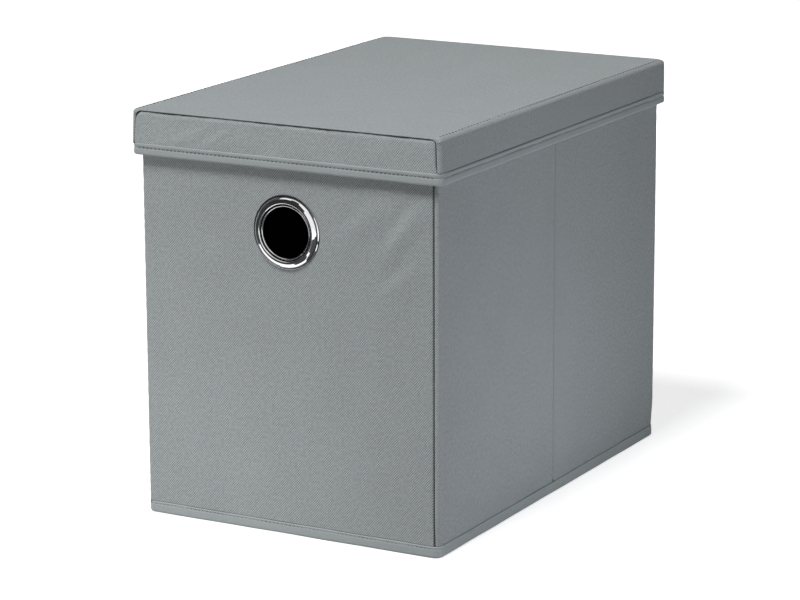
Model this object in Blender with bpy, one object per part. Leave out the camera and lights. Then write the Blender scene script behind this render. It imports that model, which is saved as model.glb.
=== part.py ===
# Collapsible fabric-covered storage box with a lift-off lid and a round metal eyelet.
# Lengths are in metres. The front faces -Y and the origin lies under the middle of the box.

import math

import bmesh
import bpy
from mathutils import Matrix, Vector

# Overall sizes
BODY_WIDTH = 0.253
BODY_DEPTH = 0.377
OVERALL_HEIGHT = 0.315
CORNER_RADIUS = 0.004

# Layers of a wall, from outside in
FABRIC = 0.0007
WALL_BOARD = 0.0022
LINING = 0.0005

# Gaps
FIT = 0.0003
WELD = 0.000001
HINGE_GAP = 0.0004
CREASE_GAP = 0.0004
BOARD_CREASE_GAP = 0.003

# Tape sewn over the top edge of the walls and round the bottom
RIM_TAPE_HEIGHT = 0.010
BINDING_HEIGHT = 0.009
BINDING_THICKNESS = 0.0026
BINDING_PROUD = 0.0009
BINDING_CORNER_RADIUS = 0.006
BINDING_ROUNDING = 0.0006

# Base
BASE_BOARD = 0.0025
BASE_CLEARANCE = 0.001

# Lid
LID_HEIGHT = 0.035
LID_OVERHANG = 0.0045
LID_TOP_BOARD = 0.002
LID_SKIRT_BOARD = 0.0015
LID_EDGE_RADIUS = 0.005
LID_CORNER_RADIUS = 0.0045
LID_HEM_HEIGHT = 0.009
LID_HEM_PROUD = 0.0007
LID_HEM_WEB = 0.0008

# Eyelet
EYELET_BELOW_LID = 0.0193
EYELET_OUTER_DIAMETER = 0.0562
EYELET_BORE = 0.0388
EYELET_BARREL_WALL = 0.001
EYELET_DOME_HEIGHT = 0.0032
EYELET_LIP_WIDTH = 0.0022
EYELET_LIP_HEIGHT = 0.0021
EYELET_GROOVE_HEIGHT = 0.0013
EYELET_EDGE_HEIGHT = 0.001
EYELET_BACK_DIAMETER = 0.054
EYELET_BACK_THICKNESS = 0.0018

# Fineness of round shapes
CORNER_STEPS = 6
HOLE_SIDES = 48
RING_STEPS = 56
DOME_STEPS = 8
TAPE_EDGE_STEPS = 3
SMOOTH_UP_TO = math.radians(40)

# Angles in degrees at which the eyelet's dome and lip leave their outer foot
DOME_FOOT_ANGLE = 15
LIP_FOOT_ANGLE = 30

# Values worked out from the sizes above
HALF_WIDTH = BODY_WIDTH / 2
HALF_DEPTH = BODY_DEPTH / 2
WALL = FABRIC + FIT + WALL_BOARD + FIT + LINING
BOARD_OUT = FABRIC + FIT
CORNER_DEPTH = max(CORNER_RADIUS, WALL)
WALL_FOOT = BINDING_HEIGHT + FIT
LID_STACK = FABRIC + FIT + LID_TOP_BOARD + FIT + LINING
RIM_TOP = OVERALL_HEIGHT - LID_STACK - FIT
RIM_FOOT = RIM_TOP - RIM_TAPE_HEIGHT
BOARD_TOP = RIM_TOP - FABRIC - FIT
PANEL_TOP = RIM_FOOT - FIT
LID_HALF_WIDTH = HALF_WIDTH + LID_OVERHANG
LID_HALF_DEPTH = HALF_DEPTH + LID_OVERHANG
LID_FOOT = OVERALL_HEIGHT - LID_HEIGHT
LID_HEM_TOP = LID_FOOT + LID_HEM_HEIGHT
SKIRT_BOARD_IN = FABRIC + FIT + LID_SKIRT_BOARD
SKIRT_LINING_OUT = SKIRT_BOARD_IN + FIT
SKIRT_THICKNESS = SKIRT_LINING_OUT + LINING
EYELET_HOLE_RADIUS = EYELET_BORE / 2 + EYELET_BARREL_WALL + FIT
EYELET_ROD_LENGTH = 4 * WALL
EYELET_CENTRE_HEIGHT = LID_FOOT - EYELET_BELOW_LID - EYELET_OUTER_DIAMETER / 2

# Pivots: the upright corner hinges lie on the inner corners, and each crease on the outer face
PIVOTS = {
    "box": Vector((0, 0, 0)),
    "right_front_half": Vector((HALF_WIDTH - WALL, WALL - HALF_DEPTH, 0)),
    "right_back_half": Vector((HALF_WIDTH, 0, 0)),
    "back_wall": Vector((HALF_WIDTH - WALL, HALF_DEPTH - WALL, 0)),
    "left_front_half": Vector((WALL - HALF_WIDTH, WALL - HALF_DEPTH, 0)),
    "left_back_half": Vector((-HALF_WIDTH, 0, 0)),
    "lid": Vector((0, 0, LID_FOOT)),
}
PIVOT_PARENTS = {
    "right_front_half": "box",
    "right_back_half": "right_front_half",
    "back_wall": "right_back_half",
    "left_front_half": "box",
    "left_back_half": "left_front_half",
    "lid": "box",
}


def clear_scene():
    for item in list(bpy.data.objects):
        bpy.data.objects.remove(item, do_unlink=True)


def add_pivots():
    """One empty for each body, placed on the joint that the body turns or slides on."""
    empties = {}
    for name, place in PIVOTS.items():
        empty = bpy.data.objects.new("pivot_" + name, None)
        empty.empty_display_size = CORNER_DEPTH
        parent = PIVOT_PARENTS.get(name)
        empty.location = place
        if parent:
            empty.parent = empties[parent]
            empty.location = place - PIVOTS[parent]
        bpy.context.scene.collection.objects.link(empty)
        empties[name] = empty
    return empties


def add_finish(name, colour, roughness, metallic=0.0):
    finish = bpy.data.materials.new(name)
    finish.use_nodes = True
    shader = finish.node_tree.nodes["Principled BSDF"]
    shader.inputs["Base Color"].default_value = (*colour, 1.0)
    shader.inputs["Roughness"].default_value = roughness
    shader.inputs["Metallic"].default_value = metallic
    return finish


def add_piece(name, body, shape, finish, smooth=False):
    """Turn a bmesh drawn in world coordinates into an object on its body's pivot."""
    bmesh.ops.recalc_face_normals(shape, faces=shape.faces)
    bmesh.ops.translate(shape, verts=shape.verts, vec=-PIVOTS[body])
    mesh = bpy.data.meshes.new(name)
    shape.to_mesh(mesh)
    shape.free()
    if smooth:
        mesh.shade_smooth()
        mesh.set_sharp_from_angle(angle=SMOOTH_UP_TO)
    piece = bpy.data.objects.new(name, mesh)
    piece.data.materials.append(FINISHES[finish])
    piece.parent = EMPTIES[body]
    bpy.context.scene.collection.objects.link(piece)
    return piece


def prism(outline, axis, start, stop):
    """Extrude an outline along X, Y or Z. Its points hold the other two coordinates in order."""
    shape = bmesh.new()
    position = "XYZ".index(axis)
    corners = []
    for first, second in outline:
        place = [first, second]
        place.insert(position, start)
        corners.append(shape.verts.new(place))
    face = shape.faces.new(corners)
    grown = bmesh.ops.extrude_face_region(shape, geom=[face])
    moved = [item for item in grown["geom"] if isinstance(item, bmesh.types.BMVert)]
    travel = Vector((0, 0, 0))
    travel[position] = stop - start
    bmesh.ops.translate(shape, verts=moved, vec=travel)
    return shape


def plate(x, y, z):
    """A flat board or sheet between two corners, each axis given as (low, high)."""
    outline = [(x[0], y[0]), (x[1], y[0]), (x[1], y[1]), (x[0], y[1])]
    return prism(outline, "Z", z[0], z[1])


def arc(centre, radius, start, stop, steps=CORNER_STEPS):
    """Points on a circle between two angles in degrees, both ends included."""
    points = []
    for step in range(steps + 1):
        angle = math.radians(start + (stop - start) * step / steps)
        first = centre[0] + radius * math.cos(angle)
        second = centre[1] + radius * math.sin(angle)
        points.append((first, second))
    return points


def rounded_rectangle(half_x, half_y, radius):
    points = []
    inner_x = half_x - radius
    inner_y = half_y - radius
    for turn, (side_x, side_y) in enumerate(((1, 1), (-1, 1), (-1, -1), (1, -1))):
        points += arc((side_x * inner_x, side_y * inner_y), radius, 90 * turn, 90 * turn + 90)
    return points


def frame_ring(half_x, half_y, radius, section):
    """Carry a closed section round a rounded rectangle. Its points are (outward offset, height)."""
    shape = bmesh.new()
    loops = []
    for offset, height in section:
        outline = rounded_rectangle(half_x + offset, half_y + offset, radius + offset)
        loops.append([shape.verts.new((x, y, height)) for x, y in outline])
    for here, after in zip(loops, loops[1:] + loops[:1]):
        for index in range(len(here)):
            ahead = (index + 1) % len(here)
            shape.faces.new((here[index], here[ahead], after[ahead], after[index]))
    return shape


def turned_ring(profile, centre):
    """Spin a closed profile of (radius, distance in front) points round an axis along Y."""
    shape = bmesh.new()
    corners = [shape.verts.new((radius, -front, 0)) for radius, front in profile]
    edges = []
    for here, after in zip(corners, corners[1:] + corners[:1]):
        edges.append(shape.edges.new((here, after)))
    bmesh.ops.spin(
        shape, geom=corners + edges, cent=(0, 0, 0), axis=(0, 1, 0),
        angle=2 * math.pi, steps=RING_STEPS, use_merge=True,
    )
    bmesh.ops.remove_doubles(shape, verts=shape.verts, dist=WELD)
    bmesh.ops.translate(shape, verts=shape.verts, vec=centre)
    return shape


def cut(piece, body, cutter_name, shape):
    """Take a shape away from a piece. The cutter itself is only a guide."""
    bmesh.ops.recalc_face_normals(shape, faces=shape.faces)
    bmesh.ops.translate(shape, verts=shape.verts, vec=-PIVOTS[body])
    mesh = bpy.data.meshes.new(cutter_name)
    shape.to_mesh(mesh)
    shape.free()
    cutter = bpy.data.objects.new(cutter_name, mesh)
    cutter.parent = EMPTIES[body]
    cutter.hide_render = True
    cutter.display_type = "WIRE"
    bpy.context.scene.collection.objects.link(cutter)
    modifier = piece.modifiers.new("cut_" + cutter_name, "BOOLEAN")
    modifier.operation = "DIFFERENCE"
    modifier.solver = "EXACT"
    modifier.object = cutter


def eyelet_hole():
    """A round rod through the front wall, as wide as the hole that the eyelet's barrel needs."""
    shape = bmesh.new()
    bmesh.ops.create_cone(
        shape, cap_ends=True, segments=HOLE_SIDES, radius1=EYELET_HOLE_RADIUS,
        radius2=EYELET_HOLE_RADIUS, depth=EYELET_ROD_LENGTH,
    )
    level = Matrix.Rotation(math.pi / 2, 3, "X")
    bmesh.ops.rotate(shape, verts=shape.verts, cent=(0, 0, 0), matrix=level)
    middle = (0, WALL / 2 - HALF_DEPTH, EYELET_CENTRE_HEIGHT)
    bmesh.ops.translate(shape, verts=shape.verts, vec=middle)
    return shape


def rim_outline(side, half):
    """Section of the tape folded over a wall's top edge, as (position across the wall, height)."""
    bridge = RIM_TOP - FABRIC
    depths = (
        (0, RIM_FOOT), (FABRIC, RIM_FOOT), (FABRIC, bridge), (WALL - LINING, bridge),
        (WALL - LINING, RIM_FOOT), (WALL, RIM_FOOT), (WALL, RIM_TOP), (0, RIM_TOP),
    )
    return [(side * (half - depth), height) for depth, height in depths]


def across(side, half, outer, inner):
    """Low and high coordinate of a layer that lies between two depths below an outer face."""
    return tuple(sorted((side * (half - outer), side * (half - inner))))


def add_base():
    """Bottom sheet, loose stiffening board with its cover, and the tape round the bottom edge."""
    inset = BINDING_THICKNESS - BINDING_PROUD + FIT
    sheet = rounded_rectangle(HALF_WIDTH - inset, HALF_DEPTH - inset, BINDING_CORNER_RADIUS - inset)
    add_piece("bottom_sheet", "box", prism(sheet, "Z", 0, FABRIC), "outer_fabric")

    cover_x = HALF_WIDTH - WALL - BASE_CLEARANCE
    cover_y = HALF_DEPTH - WALL - BASE_CLEARANCE
    board_x = cover_x - LINING - FIT
    board_y = cover_y - LINING - FIT
    board_foot = FABRIC + FIT
    board_top = board_foot + BASE_BOARD
    cover_top = board_top + FIT + LINING
    board = plate((-board_x, board_x), (-board_y, board_y), (board_foot, board_top))
    add_piece("base_board", "box", board, "cardboard")
    outside = plate((-cover_x, cover_x), (-cover_y, cover_y), (board_foot, cover_top))
    cover = add_piece("base_cover", "box", outside, "lining_fabric")
    inside = plate(
        (LINING - cover_x, cover_x - LINING), (LINING - cover_y, cover_y - LINING),
        (board_foot - BASE_BOARD, board_top + FIT),
    )
    cut(cover, "box", "base_cover_inside", inside)

    bend = BINDING_ROUNDING
    outer = BINDING_PROUD
    inner = BINDING_PROUD - BINDING_THICKNESS
    section = arc((outer - bend, BINDING_HEIGHT - bend), bend, 0, 90, TAPE_EDGE_STEPS)
    section += [(inner, BINDING_HEIGHT), (inner, 0)]
    section += arc((outer - bend, bend), bend, 270, 360, TAPE_EDGE_STEPS)
    ring = frame_ring(HALF_WIDTH, HALF_DEPTH, BINDING_CORNER_RADIUS, section)
    add_piece("bottom_binding", "box", ring, "binding_tape", smooth=True)


def add_corner(name, body, side_x, side_y):
    """Cloth that turns an upright corner, from the seam on the front or back to the side."""
    centre = (HALF_WIDTH - CORNER_RADIUS, HALF_DEPTH - CORNER_RADIUS)
    end = HALF_DEPTH - CORNER_DEPTH
    outline = [(HALF_WIDTH, end)] + arc(centre, CORNER_RADIUS, 0, 90)
    outline += arc(centre, CORNER_RADIUS - FABRIC, 90, 0) + [(HALF_WIDTH - FABRIC, end)]
    if CORNER_DEPTH - CORNER_RADIUS < WELD:
        outline = outline[1:-1]
    turned = [(side_x * x, side_y * y) for x, y in outline]
    add_piece(name, body, prism(turned, "Z", WALL_FOOT, RIM_TOP), "outer_fabric", smooth=True)


def add_end_wall(name, body, side_y, with_eyelet):
    """Front or back wall: outer panel, board, lining, rim tape and the two corner turns."""
    panel_x = HALF_WIDTH - CORNER_RADIUS - FIT
    lining_x = HALF_WIDTH - WALL
    layers = (
        (name + "_board", "cardboard", panel_x, BOARD_OUT, BOARD_OUT + WALL_BOARD, BOARD_TOP),
        (name + "_panel", "outer_fabric", panel_x, 0, FABRIC, PANEL_TOP),
        (name + "_lining", "lining_fabric", lining_x, WALL - LINING, WALL, PANEL_TOP),
    )
    for layer, finish, half_x, outer, inner, top in layers:
        shape = plate((-half_x, half_x), across(side_y, HALF_DEPTH, outer, inner), (WALL_FOOT, top))
        piece = add_piece(layer, body, shape, finish)
        if with_eyelet:
            cut(piece, body, layer + "_hole", eyelet_hole())
    rim = prism(rim_outline(side_y, HALF_DEPTH), "X", -panel_x, panel_x)
    add_piece(name + "_rim_tape", body, rim, "binding_tape")
    for side, side_x in (("right", 1), ("left", -1)):
        add_corner(name + "_" + side + "_corner", body, side_x, side_y)


def add_side_half(body, side_x, side_y):
    """One of the two stiffened halves of a side wall, which fold inward at the upright crease."""
    name = body.removesuffix("_half")
    near = HALF_DEPTH - CORNER_DEPTH - HINGE_GAP
    layers = (
        ("_board", "cardboard", BOARD_OUT, BOARD_OUT + WALL_BOARD, BOARD_TOP, BOARD_CREASE_GAP / 2),
        ("_panel", "outer_fabric", 0, FABRIC, PANEL_TOP, CREASE_GAP / 2),
        ("_lining", "lining_fabric", WALL - LINING, WALL, PANEL_TOP, CREASE_GAP / 2),
    )
    for layer, finish, outer, inner, top, crease in layers:
        along = tuple(sorted((side_y * crease, side_y * near)))
        shape = plate(across(side_x, HALF_WIDTH, outer, inner), along, (WALL_FOOT, top))
        add_piece(name + layer, body, shape, finish)
    rim = prism(rim_outline(side_x, HALF_WIDTH), "Y", side_y * CREASE_GAP / 2, side_y * near)
    add_piece(name + "_rim_tape", body, rim, "binding_tape")


def add_eyelet():
    """Domed front ring whose barrel passes through the wall, and the plain ring behind it."""
    outer = EYELET_OUTER_DIAMETER / 2
    bore = EYELET_BORE / 2
    barrel = bore + EYELET_BARREL_WALL
    barrel_end = -(WALL + FIT + EYELET_BACK_THICKNESS)
    lip = EYELET_LIP_WIDTH / 2
    dome_in = bore + EYELET_LIP_WIDTH
    dome_half = (outer - EYELET_EDGE_HEIGHT / 2 - dome_in) / 2
    dome_rise = EYELET_DOME_HEIGHT - EYELET_GROOVE_HEIGHT
    profile = [(barrel, barrel_end), (barrel, FIT), (outer, FIT), (outer, EYELET_EDGE_HEIGHT)]
    for across_dome, rise in arc((0, 0), 1, DOME_FOOT_ANGLE, 180, DOME_STEPS):
        profile.append((dome_in + dome_half * (1 + across_dome), EYELET_GROOVE_HEIGHT + dome_rise * rise))
    lip_rise = EYELET_LIP_HEIGHT - EYELET_GROOVE_HEIGHT
    for across_lip, rise in arc((0, 0), 1, LIP_FOOT_ANGLE, 180, DOME_STEPS // 2):
        profile.append((bore + lip * (1 + across_lip), EYELET_GROOVE_HEIGHT + lip_rise * rise))
    profile.append((bore, barrel_end))
    place = Vector((0, -HALF_DEPTH, EYELET_CENTRE_HEIGHT))
    add_piece("eyelet_front", "box", turned_ring(profile, place), "eyelet_metal", smooth=True)

    back_outer = EYELET_BACK_DIAMETER / 2
    back_inner = EYELET_HOLE_RADIUS
    seat = -(WALL + FIT)
    rounding = EYELET_BACK_THICKNESS / 2
    profile = [(back_inner, barrel_end), (back_inner, seat), (back_outer, seat)]
    profile += [(back_outer, seat - rounding), (back_outer - rounding, barrel_end)]
    add_piece("eyelet_back", "box", turned_ring(profile, place), "eyelet_metal", smooth=True)


def lid_outline(half_x, top, radius, foot):
    """Outline of the lid seen from the front, with rounded upper corners, from right foot to left."""
    right = arc((half_x - radius, top - radius), radius, 0, 90)
    left = arc((radius - half_x, top - radius), radius, 90, 180)
    return [(half_x, foot)] + right + left + [(-half_x, foot)]


def add_lid():
    """Lid: five boards, the cloth over them, the lining and the hem tape round the lower edge."""
    cloth_foot = LID_HEM_TOP + FIT
    board_foot = LID_FOOT + LID_HEM_WEB + FIT
    top_of_boards = OVERALL_HEIGHT - FABRIC - FIT
    square_x = LID_HALF_WIDTH - max(LID_EDGE_RADIUS, LID_CORNER_RADIUS)
    square_y = LID_HALF_DEPTH - max(SKIRT_LINING_OUT, LID_CORNER_RADIUS)

    top_y = LID_HALF_DEPTH - SKIRT_BOARD_IN - FIT
    top = plate(
        (-square_x, square_x), (-top_y, top_y), (top_of_boards - LID_TOP_BOARD, top_of_boards),
    )
    add_piece("lid_top_board", "lid", top, "cardboard")
    for name, side in (("right", 1), ("left", -1)):
        x = across(side, LID_HALF_WIDTH, FABRIC + FIT, SKIRT_BOARD_IN)
        skirt = plate(x, (-square_y, square_y), (board_foot, OVERALL_HEIGHT - LID_EDGE_RADIUS))
        add_piece("lid_" + name + "_board", "lid", skirt, "cardboard")
    for name, side in (("front", -1), ("back", 1)):
        y = across(side, LID_HALF_DEPTH, FABRIC + FIT, SKIRT_BOARD_IN)
        skirt = plate((-square_x, square_x), y, (board_foot, top_of_boards))
        add_piece("lid_" + name + "_board", "lid", skirt, "cardboard")

    outside = lid_outline(LID_HALF_WIDTH, OVERALL_HEIGHT, LID_EDGE_RADIUS, cloth_foot)
    inside = lid_outline(
        LID_HALF_WIDTH - FABRIC, OVERALL_HEIGHT - FABRIC, LID_EDGE_RADIUS - FABRIC, cloth_foot,
    )
    cover_y = LID_HALF_DEPTH - FABRIC - FIT
    cover = prism(outside + inside[::-1], "Y", -cover_y, cover_y)
    add_piece("lid_cover", "lid", cover, "outer_fabric", smooth=True)
    for name, side in (("front", -1), ("back", 1)):
        panel = prism(outside, "Y", side * (LID_HALF_DEPTH - FABRIC), side * LID_HALF_DEPTH)
        add_piece("lid_" + name + "_skirt", "lid", panel, "outer_fabric", smooth=True)

    lining_x = LID_HALF_WIDTH - SKIRT_LINING_OUT
    lining_y = LID_HALF_DEPTH - SKIRT_LINING_OUT
    lining_top = top_of_boards - LID_TOP_BOARD - FIT
    block = plate((-lining_x, lining_x), (-lining_y, lining_y), (cloth_foot, lining_top))
    lining = add_piece("lid_lining", "lid", block, "lining_fabric")
    hollow = plate(
        (LINING - lining_x, lining_x - LINING), (LINING - lining_y, lining_y - LINING),
        (LID_FOOT, lining_top - LINING),
    )
    cut(lining, "lid", "lid_lining_inside", hollow)

    web_top = LID_FOOT + LID_HEM_WEB
    bend = LID_HEM_PROUD
    section = arc((LID_HEM_PROUD - bend, LID_FOOT + bend), bend, 270, 360, TAPE_EDGE_STEPS)
    section += arc((LID_HEM_PROUD - bend, LID_HEM_TOP - bend), bend, 0, 90, TAPE_EDGE_STEPS)
    section += [
        (-FABRIC, LID_HEM_TOP), (-FABRIC, web_top), (-SKIRT_LINING_OUT, web_top),
        (-SKIRT_LINING_OUT, LID_HEM_TOP), (-SKIRT_THICKNESS, LID_HEM_TOP), (-SKIRT_THICKNESS, LID_FOOT),
    ]
    ring = frame_ring(LID_HALF_WIDTH, LID_HALF_DEPTH, LID_CORNER_RADIUS, section)
    add_piece("lid_hem", "lid", ring, "binding_tape", smooth=True)


clear_scene()
EMPTIES = add_pivots()
FINISHES = {
    "outer_fabric": add_finish("outer_fabric", (0.30, 0.32, 0.32), 0.85),
    "lining_fabric": add_finish("lining_fabric", (0.27, 0.29, 0.30), 0.9),
    "binding_tape": add_finish("binding_tape", (0.29, 0.31, 0.32), 0.8),
    "cardboard": add_finish("cardboard", (0.42, 0.33, 0.23), 0.9),
    "eyelet_metal": add_finish("eyelet_metal", (0.78, 0.79, 0.80), 0.12, 1.0),
}

add_base()
add_end_wall("front", "box", -1, with_eyelet=True)
add_eyelet()
for side_name, side_sign in (("right", 1), ("left", -1)):
    add_side_half(side_name + "_front_half", side_sign, -1)
    add_side_half(side_name + "_back_half", side_sign, 1)
add_end_wall("back", "back_wall", 1, with_eyelet=False)
add_lid()
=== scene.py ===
"""The looks of a collapsible cloth-covered storage box with a lift-off lid and a chrome eyelet.

Most cloth is cut flat and laid over the board that carries it, with its edges turned into the seams.
Lengths are in metres. The front faces -Y.
"""

import math

import bmesh
import bpy
import numpy as np
from mathutils import Matrix, Vector


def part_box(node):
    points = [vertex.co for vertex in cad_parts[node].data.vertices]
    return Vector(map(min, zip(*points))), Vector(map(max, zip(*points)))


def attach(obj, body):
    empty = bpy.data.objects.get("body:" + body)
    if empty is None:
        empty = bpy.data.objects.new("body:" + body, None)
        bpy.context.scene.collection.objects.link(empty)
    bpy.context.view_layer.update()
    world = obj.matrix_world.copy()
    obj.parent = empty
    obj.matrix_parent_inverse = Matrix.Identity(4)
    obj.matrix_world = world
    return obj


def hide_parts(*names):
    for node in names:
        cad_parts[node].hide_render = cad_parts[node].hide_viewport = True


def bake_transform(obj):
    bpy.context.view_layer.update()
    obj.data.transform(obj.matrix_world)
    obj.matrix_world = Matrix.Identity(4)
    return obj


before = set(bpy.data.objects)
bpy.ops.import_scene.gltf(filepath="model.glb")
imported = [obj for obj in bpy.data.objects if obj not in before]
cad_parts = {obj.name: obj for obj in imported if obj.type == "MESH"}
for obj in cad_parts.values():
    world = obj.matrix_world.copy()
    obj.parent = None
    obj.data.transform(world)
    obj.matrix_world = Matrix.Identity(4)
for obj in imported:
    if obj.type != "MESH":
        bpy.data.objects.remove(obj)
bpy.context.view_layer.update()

# Places read from the frame
PANEL_LOW, PANEL_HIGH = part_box("front_panel")
RIM_LOW, RIM_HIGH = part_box("front_rim_tape")
BINDING_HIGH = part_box("bottom_binding")[1]
COVER_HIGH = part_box("lid_cover")[1]
HEM_LOW, HEM_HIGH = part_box("lid_hem")
EYELET_LOW, EYELET_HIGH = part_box("eyelet_front")
BACK_RING_LOW, BACK_RING_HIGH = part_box("eyelet_back")

HALF_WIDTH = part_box("right_front_panel")[1].x
HALF_DEPTH = -PANEL_LOW.y
WALL = RIM_HIGH.y - RIM_LOW.y
SEAM_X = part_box("front_right_corner")[0].x
CORNER_RADIUS = HALF_WIDTH - SEAM_X
PANEL_TOP = PANEL_HIGH.z
RIM_FOOT = RIM_LOW.z
RIM_TOP = RIM_HIGH.z
BINDING_TOP = BINDING_HIGH.z
BINDING_PROUD = BINDING_HIGH.x - HALF_WIDTH
LID_X = COVER_HIGH.x
LID_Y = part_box("lid_back_skirt")[1].y
LID_TOP = COVER_HIGH.z
HEM_FOOT = HEM_LOW.z
HEM_TOP = HEM_HIGH.z
HEM_PROUD = HEM_HIGH.x - LID_X
EYELET_CENTRE = (EYELET_LOW + EYELET_HIGH) / 2
EYELET_RADIUS = (EYELET_HIGH.x - EYELET_LOW.x) / 2

# Cloth
CLOTH = 0.00045
LINING_CLOTH = CLOTH * 0.8
WELD = 1e-6
SMOOTH_UP_TO = math.radians(50)
FINE_STEP = 0.0005
EDGE_RUN = 0.004
FOLD_RUN = 1.5 * EDGE_RUN
BROAD_STEP = 0.0022
CLOTH_FOOT = 0.005
FOOT_LINE = 0.0009
LINE_STEPS = 3
# Painted shadow along the binding's top edge, and painted shade where a crease meets the binding
FOOT_PAINTED_SHADOW = 0.75
CREASE_FOOT_SHADE_REACH = 0.0032
SEAM_ROLL = 0.0016
SEAM_DEPTH = 0.0011
# Reach of the painted shade beside a seam
SEAM_SHADE_REACH = 0.0009
SEAM_GAP = 0.00005
CORNER_ROUND = 0.0018
CORNER_ROLL = 0.0034
CORNER_DIP = 0.0010
CORNER_SQUASH = 0.0013
CORNER_SETTLE = 0.02
CORNER_BEND_END = 3
WALL_SLACK = 0.00010
SIDE_SLACK = 0.00022
CALM_RUN = 0.02
PUCKER_PITCH = 0.011
PUCKER_REACH = 0.010
PUCKER_HEIGHT = 0.00012
PUCKER_WANDER = 0.6
GATHER_REACH = 3

# Soft waves in slack cloth: how many, the range of their stretch, and their lengths across and along
SLACK_WAVES = 9
SLACK_STRETCH = (0.7, 1.6)
WALL_WAVES = (0.07, 0.09)
SIDE_WAVES = (0.05, 0.16)
PUCKER_WAVES = (0.05, 0.05)
TAPE_WAVES = (0.06, 0.06)
LID_WAVES = (0.09, 0.12)
SKIRT_WAVES = (0.06, 0.05)
RIM_WAVES = (0.05, 0.05)
LINING_WAVES = (0.06, 0.10)
COVERING_WAVES = (0.09, 0.11)

# Upright crease of a side wall: a pressed ridge, with a fine line of painted shade on the fold
CREASE_RIDGE = 0.0005
CREASE_PEAK = 0.0012
CREASE_FLANK = 0.0045
CREASE_SHADE_REACH = 0.0005
CREASE_PAINTED_SHADE = 0.55
CREASE_SLIT = 0.00004
SIDE_PUCKER = 0.6

# Lid. The cover turns into the skirt seams in a round that tightens towards the hem
LID_CLOTH_FOOT = HEM_FOOT + 0.004
LID_EDGE_RADIUS = 0.0034
LID_FRONT_ROUND = 0.0010
LID_ROUND_TOP = 0.0036
LID_ROUND_FOOT_RIGHT = 0.0030
LID_ROUND_FOOT_LEFT = 0.0014
LID_ROUND_BEHIND = 0.0055
LID_ROUND_EASE = 0.0015
LID_SEAM_TUCK = 0.0035
LID_TUCK_DEPTH = 0.0009
# Reach of the painted shade on the cover's turned-in ends
LID_TUCK_SHADE_REACH = 0.0006
LID_SLACK = 0.0002
LID_CORNER_LEFT = 0.0056
LID_CORNER_RIGHT = 0.0036
LID_CORNER_FILL = 0.0026
LID_FILL_PAST = 0.0022
LID_FILL_ABOVE = 0.0026
LID_FILL_BELOW = 0.0038
LID_SLIT = 0.0009
LID_SLIT_TAPER = 0.2
LID_NICK = 0.0016
LID_NICK_FROM = 0.66
LID_TOP_GAP_LEFT = 0.0002
LID_TOP_GAP_RIGHT = 0.0006
# Share of the painted shade along the skirt's top seam at its left end
LID_TOP_SHADE_LEFT = 0.5
LID_ROW_INSET = 0.0038
LID_ROW_PITCH = 0.0048
LID_ROW_DEPTH = 0.0003
LID_ROW_LIFT = 0.00005
LID_ROW_WIDTH = 0.0009
LID_ROW_GATHER = 0.00014
LID_GATHER_PITCH = 0.012
LID_GATHER_REACH = 0.008
SKIRT_STEP = 0.0016
SKIRT_SLACK = 0.00012
SKIRT_GATHER = 0.00012
SKIRT_SIDE_ROLL = (0.0018, 0.0007)
SKIRT_TOP_ROLL = (0.0042, 0.0011)
# Reach of the painted shade along the skirt seams
SKIRT_SHADE_REACH = 0.0007
SKIRT_TIGHT_FROM = 0.45
SKIRT_TIGHT_RUN = 0.3

# Hem and binding
HEM_STITCH_DROP = 0.0032
HEM_CALM = 0.006
HEM_CORNER = 0.0045
# Painted shadow line along the top of the hem on the lid's sides
SIDE_HEM_PAINTED_SHADOW = 0.9
SIDE_HEM_LINE = 0.0009
# How much fainter the painted shade of a sewn row is on the long sides
SIDE_STITCH_EASE = 0.75
TAPE_STEP = 0.003
TAPE_FINE_STEP = 0.0004
TAPE_SLACK = 0.00012
BINDING_STITCH_DROP = 0.0016
BINDING_CORNER = 0.006

# Rim and linings
RIM_PROUD = 0.0004
RIM_INNER_SHARE = 0.97
RIM_STEP = 0.0012
RIM_SLACK = 0.00008
RIM_STITCH_RISE = 0.0020
RIM_ROW_DEPTH = 0.00025
RIM_ROW_WIDTH = 0.0008
# Painted shade along the rim tape's sewn row, and its reach
RIM_ROW_PAINTED_SHADE = 0.4
RIM_ROW_LINE = 0.0005
LINING_STEP = BROAD_STEP * 1.5
LINING_SINK = 0.0001
LINING_SLACK = 0.00012
# Painted shade at the linings' edges
LINING_EDGE_PAINTED_SHADE = 0.5
LINING_BEND = 0.008
RIM_BEND = 0.005
RIM_CREASE_STEP = 0.001

# Coverings and the bottom sheet
COVERING_SLACK = 0.00015
COVERING_LEVELS = 4
FACING_DOWN = -0.5
SHEET_CORNER_SHARE = 0.66
SHEET_INSET = 0.004

# Eyelet
RING_STEPS = 144
RING_SMOOTH_UP_TO = math.radians(60)
HOLE_EDGE_REACH = 1.5
EYELET_BORE_SHARE = 0.690
EYELET_BARREL = 0.001
CLOTH_HOLE_SHARE = 0.75
EYELET_SEAT = 0.0003
EYELET_GROOVE = 0.0012
EYELET_SLOT = 0.0004
EYELET_LIP = 0.0018
EYELET_LIP_RISE = 0.0010
# Width of the painted shade in the eyelet's crevices
EYELET_SHADE_WIDTH = 0.00035
EYELET_UNDERCUT = 0.0003
EYELET_ARCH_STEPS = 12
EYELET_FALL_STOP = math.pi - 0.05
BACK_RING_FIT = 0.0003
BACK_RING_CHAMFER = 0.0004
BACK_RING_FALL = 0.0002
BACK_RING_FLAT = 0.3
BACK_RING_STEPS = 4

# Slopes of the eyelet's face from its edge up to its crest, as (width, tilt in degrees)
EYELET_SLOPES = ((0.0002, 50), (0.0012, 17), (0.0006, 50), (0.0010, 35), (0.0018, 22), (0.0007, 6))
EYELET_SLOPE_STEPS = 5

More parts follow.
